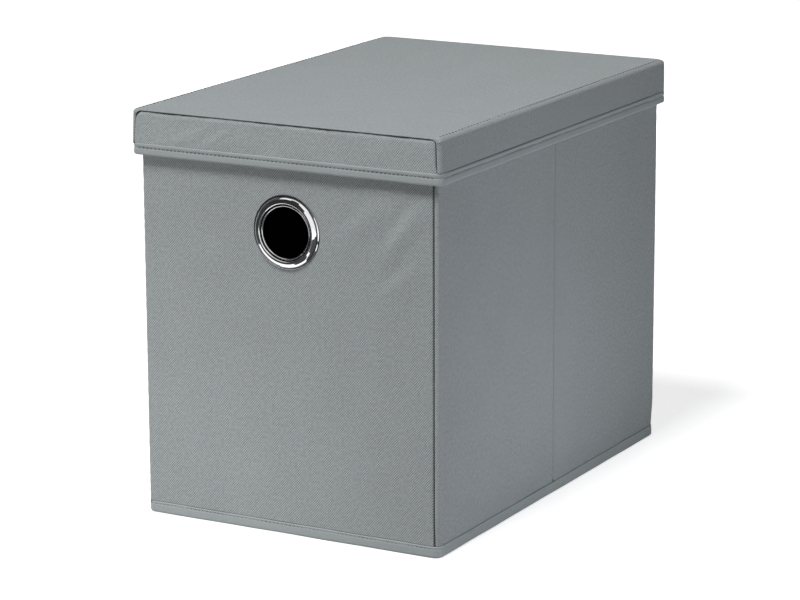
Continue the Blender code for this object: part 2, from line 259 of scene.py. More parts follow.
# Embossed ribs of the cloth as waves of (share across, share up, strength), the main ribs first
RIB_RISE = 0.905
RIB_WAVES = ((1.0, -1.0, 0.30), (1.13, -0.98, 0.11), (0.875, -1.0, 0.05), (0.80, 1.0, 0.05))
RIB_MIDDLE = 0.5
RIB_WANDER_SCALE = 180
RIB_WANDER = 0.0010
RIB_FADE_SCALE = 420
RIB_FADE = (0.25, 0.75, 0.7, 1.0)

# Fibres, how strongly fuzz shows in the colour, the roughness and the relief, the ribs' mean for the
# painted shade between them, and the colour left in painted seam shade
FIBRE_DETAIL = 3
CLOUD_RANGE = (0.3, 0.7)
MEAN_NOISE = 0.5
MEAN_RIB = 0.42
FUZZ_SHADE = 0.22
FUZZ_RELIEF = 0.25
FUZZ_ROUGHNESS = 0.2
LEAST_ROUGHNESS = 0.74
PAINTED_SEAM_SHADE = 0.14

# Cardboard and chrome
BOARD_COLOUR = (0.42, 0.33, 0.23, 1)
BOARD_RELIEF = 0.0001
CHROME_SHADES = ((0.80, 0.81, 0.82, 1), (0.86, 0.87, 0.88, 1))
# Colour of the painted shade in the eyelet's crevices
CHROME_PAINTED_SHADE = (0.05, 0.05, 0.055, 1)
CHROME_RELIEF = 0.000002
POLISH_HAZE = 0.04
LEAST_HAZE = 0.03

# Colour sockets of a Mix node
MIX_FACTOR, MIX_FIRST, MIX_SECOND, MIX_RESULT = 0, 6, 7, 2

# Thread
STITCH_PITCH = 0.0035
STITCH_LENGTH = 0.0021
STITCH_WIDTH = 0.0007
LYING_LENGTH = 0.0016
LYING_WIDTH = 0.0016
STITCH_THICKNESS = 0.0006
STITCH_SLANT = 0.06
STITCH_SINK = 0.0003
# Painted shade along a sewn row
STITCH_PAINTED_SHADE = 0.18
STITCH_TIGHT = 0.00015
STITCH_CORNER_SINK = 8

# Drag wrinkles: where each crest starts and ends (across, up), its width and its height
WRINKLE_EASE = 2.2
WRINKLE_HOLLOW = 0.35
WRINKLE_STEP = 1.7
FRONT_WRINKLES = (
    ((0.078, 0.217), (0.118, 0.269), 0.0050, 0.00150),
    ((0.041, 0.227), (0.083, 0.264), 0.0050, 0.00075),
    ((0.074, 0.189), (0.119, 0.224), 0.0045, 0.00090),
    ((0.095, 0.211), (0.123, 0.244), 0.0040, 0.00050),
    ((-0.100, 0.196), (-0.040, 0.214), 0.0090, 0.00035),
    ((-0.060, 0.150), (0.010, 0.196), 0.0110, 0.00035),
)
LID_WRINKLES = (
    ((-0.110, 0.284), (-0.061, 0.306), 0.0040, 0.00050),
    ((-0.075, 0.285), (-0.043, 0.307), 0.0030, 0.00060),
    ((-0.063, 0.286), (-0.027, 0.306), 0.0030, 0.00030),
    ((-0.046, 0.288), (-0.016, 0.303), 0.0040, 0.00025),
    ((0.060, 0.288), (0.092, 0.306), 0.0050, 0.00025),
)


# Working with pieces


def deselect_all():
    bpy.ops.object.select_all(action="DESELECT")


def make_active(piece):
    deselect_all()
    piece.select_set(True)
    bpy.context.view_layer.objects.active = piece


def apply_modifier(piece, kind, **values):
    make_active(piece)
    modifier = piece.modifiers.new(kind.lower(), kind)
    for name, value in values.items():
        setattr(modifier, name, value)
    bpy.ops.object.modifier_apply(modifier=modifier.name)


def edit(piece, *operators):
    """Run edit-mode operators on the whole piece."""
    make_active(piece)
    bpy.ops.object.mode_set(mode="EDIT")
    bpy.ops.mesh.select_all(action="SELECT")
    for operator in operators:
        operator()
    bpy.ops.object.mode_set(mode="OBJECT")


# Shapes that cloth follows


def walk(start, heading, legs, distance):
    """Points, headings and right-hand normals at distances along a path of straight and round legs.

    Each leg is (length, turn), with the turn in radians and 0 on a straight leg.
    """
    distance = np.asarray(distance, float)
    first = np.zeros_like(distance)
    second = np.zeros_like(distance)
    facing = np.zeros_like(distance)
    here = np.array(start, float)
    begin = 0.0
    for number, (length, turn) in enumerate(legs):
        last = number == len(legs) - 1
        inside = (distance >= begin) & ((distance < begin + length) | last)
        along = distance[inside] - begin
        if turn:
            bend = turn / length
            angle = heading + bend * along
            first[inside] = here[0] + (np.sin(angle) - math.sin(heading)) / bend
            second[inside] = here[1] + (math.cos(heading) - np.cos(angle)) / bend
            facing[inside] = angle
            here = here + np.array((
                (math.sin(heading + turn) - math.sin(heading)) / bend,
                (math.cos(heading) - math.cos(heading + turn)) / bend,
            ))
            heading += turn
        else:
            first[inside] = here[0] + math.cos(heading) * along
            second[inside] = here[1] + math.sin(heading) * along
            facing[inside] = heading
            here = here + length * np.array((math.cos(heading), math.sin(heading)))
        begin += length
    return first, second, facing, np.sin(facing), -np.cos(facing)


def round_leg(radius, turn=math.pi / 2):
    return (radius * abs(turn), turn)


def loop_legs(half_x, half_y, radius):
    """A rounded rectangle, counter-clockwise from the middle of the back."""
    bend = round_leg(radius)
    across = 2 * (half_x - radius)
    along = 2 * (half_y - radius)
    return [(across / 2, 0), bend, (along, 0), bend, (across, 0), bend, (along, 0), bend, (across / 2, 0)]


def stations(*runs):
    """Places of the threads along a cloth. Each run is (length, step), finer where the cloth bends."""
    places = [0.0]
    for length, step in runs:
        count = max(1, round(length / step))
        start = places[-1]
        places += [start + length * (number + 1) / count for number in range(count)]
    return np.array(places)


def leg_stations(legs, step=BROAD_STEP):
    return stations(*((length, FINE_STEP if turn else step) for length, turn in legs))


def edged_stations(length):
    return stations((EDGE_RUN, FINE_STEP), (length - 2 * EDGE_RUN, BROAD_STEP), (EDGE_RUN, FINE_STEP))


def roll(edge, reach=SEAM_ROLL, depth=SEAM_DEPTH):
    """How far cloth dips as it turns into a seam, by the distance from that seam."""
    return depth * np.clip(1 - edge / reach, 0, 1) ** 2


# Painted shade beside a seam: 1 at the seam, fading out over reach. The same ramp also shapes a corner.
def seam_shade(edge, reach=SEAM_SHADE_REACH):
    return np.clip(1 - edge / reach, 0, 1)


def pucker(along, edge, height=PUCKER_HEIGHT, pitch=PUCKER_PITCH, reach=PUCKER_REACH, seed=0):
    """Small gathers beside a sewn seam."""
    wander = PUCKER_WANDER * slack(along, np.zeros_like(along), PUCKER_WAVES, seed)
    return height * np.exp(-edge / reach) * np.sin(2 * math.pi * (along / pitch + wander))


def slack(across, along, lengths, seed):
    """Soft unevenness of cloth, about -1 to 1: broad waves in several directions."""
    draw = np.random.default_rng(seed)
    total = np.zeros_like(across)
    for _ in range(SLACK_WAVES):
        angle, phase = draw.uniform(0, 2 * math.pi, 2)
        stretch = draw.uniform(*SLACK_STRETCH)
        swing = across / lengths[0] * math.cos(angle) + along / lengths[1] * math.sin(angle)
        total += np.cos(2 * math.pi * swing / stretch + phase)
    return total / math.sqrt(SLACK_WAVES)


def wrinkles(across, up, folds):
    """Drag wrinkles: soft ridges along a line, steep above and easy below, fading out at both ends."""
    total = np.zeros_like(across)
    for start, end, width, height in folds:
        run = np.array(end) - np.array(start)
        length = np.hypot(*run)
        ahead, rise = run / length
        along = ((across - start[0]) * ahead + (up - start[1]) * rise) / length
        off = ((across - start[0]) * rise - (up - start[1]) * ahead) / width
        fade = np.sin(math.pi * np.clip(along, 0, 1))
        crest = np.exp(-np.where(off < 0, off, off / WRINKLE_EASE) ** 2)
        hollow = WRINKLE_HOLLOW * np.exp(-(off + WRINKLE_STEP) ** 2)
        total += height * fade * (crest - hollow)
    return total


# Making cloth


def lay_cloth(name, across, along, place, inside_out=False, closed=False, hole=None, thickness=CLOTH):
    """Cut a flat cloth, lay it where place(u, v) says and give it its thickness.

    place gives x, y, z and the painted shade at each point, darkest in seams, creases and gaps. The UV map
    is the flat cut, in metres.
    """
    columns = len(across) - 1
    rows = len(along) - 1
    deselect_all()
    bpy.ops.mesh.primitive_grid_add(x_subdivisions=columns, y_subdivisions=rows, size=1)
    cloth = bpy.context.object
    cloth.name = name
    mesh = cloth.data
    flat = np.zeros(len(mesh.vertices) * 3)
    mesh.vertices.foreach_get("co", flat)
    flat = flat.reshape(-1, 3)
    u = across[np.rint((flat[:, 0] + 0.5) * columns).astype(int)]
    v = along[np.rint((flat[:, 1] + 0.5) * rows).astype(int)]
    corners = np.zeros(len(mesh.loops), int)
    mesh.loops.foreach_get("vertex_index", corners)
    mesh.uv_layers[0].data.foreach_set("uv", np.stack((u[corners], v[corners]), 1).ravel())
    x, y, z, shade = place(u, v)
    mesh.vertices.foreach_set("co", np.stack((x, y, z), 1).ravel())
    # The 'seam' attribute carries painted shade, which darkens the colour in seams, creases, gaps and sewn
    # rows
    seam = mesh.attributes.new("seam", "FLOAT", "POINT")
    seam.data.foreach_set("value", np.clip(shade + 0 * u, 0, 1))
    mesh.update()
    if hole:
        open_hole(cloth, *hole)
    steps = []
    if closed:
        steps.append(lambda: bpy.ops.mesh.remove_doubles(threshold=WELD))
    if inside_out:
        steps.append(bpy.ops.mesh.flip_normals)
    edit(cloth, *steps)
    apply_modifier(cloth, "SOLIDIFY", thickness=thickness, offset=-1)
    bpy.ops.object.shade_smooth_by_angle(angle=SMOOTH_UP_TO)
    return cloth


def open_hole(cloth, centre, radius):
    """Cut the eyelet's round hole: faces inside it go, and the cut edge is drawn onto the circle."""
    shape = bmesh.new()
    shape.from_mesh(cloth.data)

    def reach(point):
        return math.hypot(point.x - centre.x, point.z - centre.z)

    inside = [face for face in shape.faces if reach(face.calc_center_median()) < radius]
    bmesh.ops.delete(shape, geom=inside, context="FACES")
    for corner in shape.verts:
        distance = reach(corner.co)
        if corner.is_boundary and distance < HOLE_EDGE_REACH * radius:
            corner.co.x = centre.x + (corner.co.x - centre.x) * radius / distance
            corner.co.z = centre.z + (corner.co.z - centre.z) * radius / distance
    shape.to_mesh(cloth.data)
    shape.free()


def sew_on(piece, body, nodes, finish):
    """Give a piece its finish and its body. A body of four values names two bodies and a stretch between
    them; the piece then only has its place baked in.
    """
    piece.data.materials.clear()
    piece.data.materials.append(finish)
    if isinstance(body, str):
        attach(piece, body)
    else:
        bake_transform(piece)
    if nodes:
        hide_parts(*nodes)
    return piece


# Materials


def link(tree, value, socket):
    if isinstance(value, bpy.types.NodeSocket):
        tree.links.new(value, socket)
    elif value is not None:
        socket.default_value = value


def calculate(tree, operation, *values):
    node = tree.nodes.new("ShaderNodeMath")
    node.operation = operation
    for value, socket in zip(values, node.inputs):
        link(tree, value, socket)
    return node.outputs[0]


def blend_colours(tree, kind, factor, first, second):
    node = tree.nodes.new("ShaderNodeMix")
    node.data_type = "RGBA"
    node.blend_type = kind
    link(tree, factor, node.inputs[MIX_FACTOR])
    link(tree, first, node.inputs[MIX_FIRST])
    link(tree, second, node.inputs[MIX_SECOND])
    return node.outputs[MIX_RESULT]


def spread(tree, value, low, high, to_low=0.0, to_high=1.0):
    node = tree.nodes.new("ShaderNodeMapRange")
    node.interpolation_type = "SMOOTHSTEP"
    for number, amount in enumerate((value, low, high, to_low, to_high)):
        link(tree, amount, node.inputs[number])
    return node.outputs[0]


def noise(tree, vector, scale, detail=2.0):
    node = tree.nodes.new("ShaderNodeTexNoise")
    link(tree, vector, node.inputs["Vector"])
    link(tree, scale, node.inputs["Scale"])
    node.inputs["Detail"].default_value = detail
    return node.outputs["Fac"]


def start_group(name, inputs, outputs):
    group = bpy.data.node_groups.new(name, "ShaderNodeTree")
    for label, kind in inputs:
        group.interface.new_socket(label, in_out="INPUT", socket_type="NodeSocket" + kind)
    for label, kind in outputs:
        group.interface.new_socket(label, in_out="OUTPUT", socket_type="NodeSocket" + kind)
    return group, group.nodes.new("NodeGroupInput").outputs, group.nodes.new("NodeGroupOutput").inputs


def make_twill_group():
    """Embossed diagonal ribs along the cloth's own threads. Their close waves beat in upright bands."""
    group, given, put = start_group(
        "twill_emboss", (("Cloth", "Vector"), ("Rib Pitch", "Float")), (("Height", "Float"),),
    )
    split = group.nodes.new("ShaderNodeSeparateXYZ")
    link(group, given["Cloth"], split.inputs[0])
    wander = noise(group, given["Cloth"], RIB_WANDER_SCALE)
    across = calculate(group, "MULTIPLY_ADD", wander, RIB_WANDER, split.outputs[0])
    up = calculate(group, "MULTIPLY", split.outputs[1], RIB_RISE)
    turns = calculate(group, "DIVIDE", math.tau, given["Rib Pitch"])
    height = RIB_MIDDLE
    for share_across, share_up, strength in RIB_WAVES:
        climbing = calculate(group, "MULTIPLY", up, share_up)
        slant = calculate(group, "MULTIPLY_ADD", across, share_across, climbing)
        wave = calculate(group, "COSINE", calculate(group, "MULTIPLY", slant, turns))
        height = calculate(group, "MULTIPLY_ADD", wave, strength, height)
    uneven = spread(group, noise(group, given["Cloth"], RIB_FADE_SCALE), *RIB_FADE)
    link(group, calculate(group, "MULTIPLY", height, uneven), put["Height"])
    return group


def make_fibre_group():
    """Matted fibres at two sizes, from fine fuzz to faint clouds."""
    group, given, put = start_group(
        "matted_fibres", (("Place", "Vector"), ("Fibre Scale", "Float"), ("Cloud Scale", "Float")),
        (("Fuzz", "Float"), ("Cloud", "Float")),
    )
    link(group, noise(group, given["Place"], given["Fibre Scale"], FIBRE_DETAIL), put["Fuzz"])
    clouds = noise(group, given["Place"], given["Cloud Scale"], FIBRE_DETAIL)
    link(group, spread(group, clouds, *CLOUD_RANGE), put["Cloud"])
    return group


def make_tone_group():
    """Colour varied by clouds and fuzz, with painted shade between the ribs and painted shade where the
    'seam' attribute marks seams, creases and gaps.
    """
    group, given, put = start_group(
        "cloth_tone",
        (
            ("Colour", "Color"), ("Cloud", "Float"), ("Fuzz", "Float"), ("Height", "Float"),
            ("Unevenness", "Float"), ("Rib Shade", "Float"),
        ),
        (("Colour", "Color"), ("Roughness", "Float")),
    )

    def vary(label, mean, strength):
        off_mean = calculate(group, "SUBTRACT", given[label], mean)
        return calculate(group, "MULTIPLY", off_mean, strength)

    cloud = vary("Cloud", MEAN_NOISE, given["Unevenness"])
    fuzz = vary("Fuzz", MEAN_NOISE, FUZZ_SHADE)
    # Painted shade and light across the embossed ribs: darker in their grooves, lighter on their crests
    ribs = vary("Height", MEAN_RIB, given["Rib Shade"])
    varied = calculate(group, "ADD", calculate(group, "ADD", cloud, fuzz), ribs)
    # Painted shade from the 'seam' attribute: darker colour in seams, creases and gaps, with the ribs faded
    # there
    seam = group.nodes.new("ShaderNodeAttribute")
    seam.attribute_name = "seam"
    open_cloth = calculate(group, "SUBTRACT", 1.0, seam.outputs["Fac"])
    value = calculate(group, "MULTIPLY_ADD", varied, open_cloth, 1.0)
    painted_shade = spread(group, seam.outputs["Fac"], 0.0, 1.0, 1.0, PAINTED_SEAM_SHADE)
    tone = group.nodes.new("ShaderNodeHueSaturation")
    link(group, given["Colour"], tone.inputs["Color"])
    link(group, calculate(group, "MULTIPLY", value, painted_shade), tone.inputs["Value"])
    link(group, tone.outputs[0], put["Colour"])
    rough = calculate(group, "MULTIPLY_ADD", given["Fuzz"], FUZZ_ROUGHNESS, LEAST_ROUGHNESS)
    link(group, rough, put["Roughness"])
    return group


GROUPS = {
    "twill": make_twill_group(),
    "fibres": make_fibre_group(),
    "tone": make_tone_group(),
}


def start_material(name):
    material = bpy.data.materials.new(name)
    material.use_nodes = True
    return material, material.node_tree, material.node_tree.nodes["Principled BSDF"]


def use_group(tree, name, **values):
    node = tree.nodes.new("ShaderNodeGroup")
    node.node_tree = GROUPS[name]
    for label, value in values.items():
        link(tree, value, node.inputs[label.replace("_", " ")])
    return node.outputs


def raise_surface(tree, shader, height, distance):
    bump = tree.nodes.new("ShaderNodeBump")
    bump.inputs["Distance"].default_value = distance
    link(tree, height, bump.inputs["Height"])
    link(tree, bump.outputs["Normal"], shader.inputs["Normal"])


def colour_surface(tree, shader, fibres, **values):
    """Take colour and roughness from the fibres and from the other values of the tone group."""
    tone = use_group(tree, "tone", Cloud=fibres["Cloud"], Fuzz=fibres["Fuzz"], **values)
    link(tree, tone["Colour"], shader.inputs["Base Color"])
    link(tree, tone["Roughness"], shader.inputs["Roughness"])


def make_cloth_finish(name, colour, rib_pitch, relief, painted_rib_shade, unevenness):
    """Non-woven cloth with an embossed twill: ribs, fuzz, faint clouds and dark seams."""
    material, tree, shader = start_material(name)
    place = tree.nodes.new("ShaderNodeTexCoord")
    twill = use_group(tree, "twill", Cloth=place.outputs["UV"], Rib_Pitch=rib_pitch)
    fibres = use_group(tree, "fibres", Place=place.outputs["Object"], Fibre_Scale=2600.0, Cloud_Scale=28.0)
    colour_surface(
        tree, shader, fibres, Colour=(*colour, 1), Height=twill["Height"], Unevenness=unevenness,
        Rib_Shade=painted_rib_shade,
    )
    surface = calculate(tree, "MULTIPLY_ADD", fibres["Fuzz"], FUZZ_RELIEF, twill["Height"])
    raise_surface(tree, shader, surface, relief)
    shader.inputs["Specular IOR Level"].default_value = 0.25
    shader.inputs["Sheen Weight"].default_value = 0.12
    shader.inputs["Sheen Roughness"].default_value = 0.45
    return material


def make_board_finish():
    """Grey-brown cardboard with fine fibres and faint clouds."""
    material, tree, shader = start_material("cardboard")
    place = tree.nodes.new("ShaderNodeTexCoord")
    fibres = use_group(tree, "fibres", Place=place.outputs["Object"], Fibre_Scale=1400.0, Cloud_Scale=60.0)
    colour_surface(
        tree, shader, fibres, Colour=BOARD_COLOUR, Height=fibres["Fuzz"], Unevenness=0.18, Rib_Shade=0.2,
    )
    raise_surface(tree, shader, fibres["Fuzz"], BOARD_RELIEF)
    return material


def make_chrome_finish():
    """Polished plated steel with faint polishing haze, and painted shade in its crevices."""
    material, tree, shader = start_material("polished_eyelet")
    place = tree.nodes.new("ShaderNodeTexCoord")
    fibres = use_group(tree, "fibres", Place=place.outputs["Object"], Fibre_Scale=900.0, Cloud_Scale=90.0)
    haze = calculate(tree, "MULTIPLY_ADD", fibres["Cloud"], POLISH_HAZE, LEAST_HAZE)
    link(tree, haze, shader.inputs["Roughness"])
    shade = blend_colours(tree, "MIX", fibres["Cloud"], *CHROME_SHADES)
    crevice = tree.nodes.new("ShaderNodeAttribute")
    crevice.attribute_name = "seam"
    # Painted shade where the 'seam' attribute marks the crevices
    shade = blend_colours(tree, "MIX", crevice.outputs["Fac"], shade, CHROME_PAINTED_SHADE)
    link(tree, shade, shader.inputs["Base Color"])
    raise_surface(tree, shader, fibres["Cloud"], CHROME_RELIEF)
    shader.inputs["Metallic"].default_value = 1.0
    return material


# Cloths by name, colour, pitch and relief of the ribs, how strongly the painted shade between the ribs
# shows, and how strongly clouds show in the colour
CLOTHS = {
    "outer_fabric": ("embossed_cloth", (0.297, 0.320, 0.324), 0.00185, 0.00012, 1.35, 0.03),
    # The skirts' cloth is a lighter copy of the outer cloth: painted light, so the lid's front and back
    # look lighter than the walls
    "skirt_fabric_painted_light": ("skirt_cloth_painted_light", (0.321, 0.346, 0.350), 0.00185, 0.00012, 1.35, 0.03),
    "binding_tape": ("binding_cloth", (0.326, 0.352, 0.357), 0.0016, 0.00008, 0.25, 0.03),
    "lining_fabric": ("lining_cloth", (0.270, 0.290, 0.296), 0.0030, 0.00010, 0.3, 0.04),
    # The thread is painted dark, as painted shade for the dimples round the stitches
    "thread": ("thread_painted_dark", (0.075, 0.080, 0.086), 0.0009, 0.00008, 0.2, 0.05),
}
FINISHES = {name: make_cloth_finish(*cloth) for name, cloth in CLOTHS.items()}
FINISHES["cardboard"] = make_board_finish()
FINISHES["eyelet_metal"] = make_chrome_finish()


def plain_cloth(body, nodes, slot, cloth, finish=None):
    """Sew a finished cloth on."""
    sew_on(cloth, body, nodes, FINISHES[finish or slot])


# Walls of the box


def wall_stations():
    """Heights of the threads of a wall cloth, close together where the binding ends."""
    foot = BINDING_TOP - CLOTH_FOOT
    top = PANEL_TOP - BINDING_TOP - 2 * FOOT_LINE
    return stations((foot, FOOT_LINE), (2 * FOOT_LINE, FOOT_LINE / LINE_STEPS), (top, BROAD_STEP))


def foot_shade(z):
    """Painted shadow line where a wall cloth goes down behind the binding."""
    return FOOT_PAINTED_SHADOW * seam_shade(z - BINDING_TOP, FOOT_LINE)


def make_wall_cloth(name, nodes, body, start, heading, legs, folds, seed, hole=None):
    """Front or back panel along a path of legs, with its upright edges turned into the seams."""
    length = sum(leg[0] for leg in legs)
    bend = sum(leg[0] for leg in legs if leg[1])
    across = stations(
        (bend + EDGE_RUN, FINE_STEP), (length - bend - 2 * EDGE_RUN, BROAD_STEP), (EDGE_RUN, FINE_STEP),
    )
    along = wall_stations()

    def place(u, v):
        x, y, _, out_x, out_y = walk(start, heading, legs, u)
        z = CLOTH_FOOT + v
        edge = np.minimum(u, length - u)
        out = WALL_SLACK * slack(u, v, WALL_WAVES, seed) * np.clip(edge / CALM_RUN, 0, 1)
        out += wrinkles(x, z, folds) + pucker(z, edge, seed=seed) - roll(edge)
        # Painted shade in the seams and a painted shadow line at the binding's top
        return x + out_x * out, y + out_y * out, z, np.maximum(seam_shade(edge), foot_shade(z))

    cloth = lay_cloth(name + "_cloth", across, along, place, hole=hole)
    plain_cloth(body, nodes, "outer_fabric", cloth)


def mirrored(side_x, side_y):
    """True where a piece drawn for the front right corner is turned inside out at this corner."""
    return side_x * side_y > 0


def crease_ridge(to_crease):
    """Height of the pressed ridge beside the upright crease, by the distance from the crease."""
    rise = np.clip(to_crease / CREASE_PEAK, 0, 1)
    flank = np.clip((to_crease - CREASE_PEAK) / CREASE_FLANK, 0, None)
    return CREASE_RIDGE * rise * np.exp(-flank ** 2)


def make_side_cloth(name, body, nodes, side_x, side_y, seed, corner=False, seamed=False):
    """Half a side wall, from its seam to the crease. With corner, the seam lies past the corner."""
    legs = [(HALF_DEPTH - CORNER_RADIUS - CREASE_SLIT, 0)]
    start = (HALF_WIDTH, CORNER_RADIUS - HALF_DEPTH)
    heading = math.pi / 2
    bend = 0.0
    if corner:
        run = HALF_DEPTH - CORNER_ROUND - CREASE_SLIT
        legs = [(CORNER_RADIUS - CORNER_ROUND, 0), round_leg(CORNER_ROUND), (run, 0)]
        start = (SEAM_X, -HALF_DEPTH)
        heading = 0
        bend = legs[0][0] + legs[1][0]
    length = sum(leg[0] for leg in legs)
    across = stations(
        (bend + EDGE_RUN, FINE_STEP), (length - bend - EDGE_RUN - FOLD_RUN, BROAD_STEP),
        (FOLD_RUN, FINE_STEP),
    )
    along = wall_stations()

    def place(u, v):
        x, y, _, out_x, out_y = walk(start, heading, legs, u)
        z = CLOTH_FOOT + v
        to_crease = length - u
        calm = np.clip((u - bend) / CALM_RUN, 0, 1) * np.clip(to_crease / CALM_RUN, 0, 1)
        out = calm * SIDE_SLACK * slack(u, v, SIDE_WAVES, seed) + crease_ridge(to_crease)
        # Painted shade along the crease, painted shadow at the binding's top, and painted shade where the
        # two meet
        shade = CREASE_PAINTED_SHADE * seam_shade(to_crease, CREASE_SHADE_REACH) + foot_shade(z)
        shade = shade + FOOT_PAINTED_SHADOW * seam_shade(np.hypot(to_crease, z - BINDING_TOP), CREASE_FOOT_SHADE_REACH)
        if corner:
            out = out - roll(u, CORNER_ROLL, CORNER_DIP)
            at_corner = np.exp(-((u - bend + CORNER_ROUND) / CORNER_RADIUS) ** 2)
            out = out - CORNER_SQUASH * at_corner * seam_shade(z - BINDING_TOP, CORNER_SETTLE)
        elif seamed:
            out = out - roll(u)
        if seamed:
            out = out + SIDE_PUCKER * pucker(z, u, seed=seed)
            # Painted shade in the seam
            shade = shade + seam_shade(u)
        return side_x * (x + out_x * out), -side_y * (y + out_y * out), z, shade

    cloth = lay_cloth(name + "_cloth", across, along, place, inside_out=mirrored(side_x, side_y))
    plain_cloth(body, nodes, "outer_fabric", cloth)


def make_open_corner(name, body, side_x, side_y):
    """Cloth on the corner where the fold is left open: it turns the corner and ends under the side."""
    legs = [round_leg(CORNER_RADIUS)]
    across = leg_stations(legs)
    along = stations((RIM_FOOT - CLOTH_FOOT, BROAD_STEP))

    def place(u, v):
        x, y, _, out_x, out_y = walk((SEAM_X, -HALF_DEPTH), 0, legs, u)
        z = CLOTH_FOOT + v
        out = -roll(u)
        # Painted shade at the seam
        return side_x * (x + out_x * out), -side_y * (y + out_y * out), z, seam_shade(u)

    cloth = lay_cloth(name + "_cloth", across, along, place, inside_out=mirrored(side_x, side_y))
    sew_on(cloth, body, [name], FINISHES["outer_fabric"])


def corner_bend(root, moving, side_x, side_y, begin=0.5):
    """The two bodies at a corner and the stretch of cloth about it, from begin radii on."""
    near = HALF_DEPTH - CORNER_RADIUS * begin
    far = HALF_DEPTH - CORNER_RADIUS * CORNER_BEND_END
    x = side_x * HALF_WIDTH
    return (root, moving, (x, side_y * near, 0), (x, side_y * far, 0))


def make_walls():
    """Cloth of the four walls.

    The front's cloth turns the front left corner, and the right side's cloths turn the two right corners.
    """
    panel = 2 * SEAM_X - SEAM_GAP
    make_wall_cloth(
        "front", ["front_panel", "front_left_corner"], "box", (-HALF_WIDTH, CORNER_RADIUS - HALF_DEPTH),
        -math.pi / 2, [round_leg(CORNER_RADIUS), (panel, 0)], FRONT_WRINKLES, seed=3,
        hole=(EYELET_CENTRE, EYELET_RADIUS * CLOTH_HOLE_SHARE),
    )
    make_wall_cloth(
        "back", ["back_panel"], "back_wall", (SEAM_X - SEAM_GAP, HALF_DEPTH),
        math.pi, [(panel - SEAM_GAP, 0)], (), seed=5,
    )
    make_side_cloth(
        "right_front", corner_bend("box", "right_front_half", 1, -1),
        ["right_front_panel", "front_right_corner"], 1, -1, seed=11, corner=True, seamed=True,
    )
    make_side_cloth(
        "left_front", corner_bend("box", "left_front_half", -1, -1, begin=1),
        ["left_front_panel"], -1, -1, seed=13, seamed=True,
    )
    make_side_cloth(
        "right_back", corner_bend("back_wall", "right_back_half", 1, 1),
        ["right_back_panel", "back_right_corner"], 1, 1, seed=17, corner=True, seamed=True,
    )
    make_side_cloth("left_back", "left_back_half", ["left_back_panel"], -1, 1, seed=19)
    make_open_corner("back_left_corner", "back_wall", -1, 1)


make_walls()


# Rings of tape


def make_tape_ring(name, body, half, radius, section_start, section_heading, section_legs, dents, ease=0.0):
    """Tape carried round the box: a section of (outward offset, height) swept along a rounded rectangle.

    ease is how much fainter the painted shade of its sewn row is on the two long sides.
    """
    legs = loop_legs(half[0], half[1], radius)
    across = leg_stations(legs, TAPE_STEP)
    along = stations(*((length, TAPE_FINE_STEP) for length, _ in section_legs))
    begin = (0, half[1])

    def place(u, v):
        x, y, _, out_x, out_y = walk(begin, math.pi, legs, u)
        offset, z, _, out, up = walk(section_start, section_heading, section_legs, v)
        push, shade = dents(u, v)
        offset = offset + out * push
        # Fainter painted shade on the long sides
        shade = shade * (1 - ease * out_x ** 2)
        return x + out_x * offset, y + out_y * offset, np.maximum(z + up * push, 0), shade

    tape = lay_cloth(name + "_tape", across, along, place, closed=True)
    sew_on(tape, body, [name], FINISHES["binding_tape"])
    return tape, (across[-1], along[-1])


def make_stitches(name, body, start, heading, legs, offset, height, lying=False, pitch=STITCH_PITCH):
    """A row of short stitches along a path. One stitch is shaped, then copied along the row.

    The row lies on a level face, or runs along an upright one, drawn tighter on the long sides and
    round the corners.
    """
    deselect_all()
    bpy.ops.mesh.primitive_uv_sphere_add(segments=6, ring_count=5, radius=0.5)
    row = bpy.context.object
    row.name = name
    shape = np.array([corner.co for corner in row.data.vertices])[:, [2, 0, 1]]
    size = (LYING_LENGTH, LYING_WIDTH) if lying else (STITCH_LENGTH, STITCH_WIDTH)
    shape = shape * (size[0], STITCH_THICKNESS, size[1])
    faces = [list(face.vertices) for face in row.data.polygons]
    length = sum(leg[0] for leg in legs)
    count = round(length / pitch)
    spots = (np.arange(count) + 0.5) * length / count
    x, y, facing, out_x, out_y = walk(start, heading, legs, spots)
    points = []
    polygons = []
    for number in range(count):
        level = np.array((out_x[number], out_y[number], 0))
        upright = np.array((0, 0, 1))
        outward, sideways = (upright, level) if lying else (level, upright)
        ahead = np.array((math.cos(facing[number]), math.sin(facing[number]), 0)) + STITCH_SLANT * sideways
        turning = 2 * abs(out_x[number] * out_y[number])
        sink = 0 if lying else STITCH_TIGHT * (out_x[number] ** 2 + STITCH_CORNER_SINK * turning)
        centre = np.array((x[number], y[number], height)) + outward * (offset - sink)
        copy = centre + shape[:, :1] * ahead + shape[:, 1:2] * outward + shape[:, 2:] * sideways
        polygons += [[index + len(points) for index in face] for face in faces]
        points += [tuple(point) for point in copy]
    mesh = bpy.data.meshes.new(name)
    mesh.from_pydata(points, [], polygons)
    row.data = mesh
    edit(row, lambda: bpy.ops.mesh.normals_make_consistent(inside=False), bpy.ops.uv.cube_project)
    bpy.ops.object.shade_smooth()
    return sew_on(row, body, [], FINISHES["thread"])


def stitched_dents(line, depth, width, height, seed):
    """Dents of a sewn row at one height of the section, with gathers between the stitches and painted shade
    along the row.
    """
    def dents(u, v):
        off = v - line
        pull = np.cos(2 * math.pi * u / STITCH_PITCH) / 2
        groove = -depth * np.exp(-(off / width) ** 2)
        gathers = height * pull * np.exp(-np.abs(off) / (GATHER_REACH * width))
        wander = TAPE_SLACK * slack(u, v, TAPE_WAVES, seed)
        return groove + gathers + wander, STITCH_PAINTED_SHADE * np.exp(-(off / width) ** 2)

    return dents


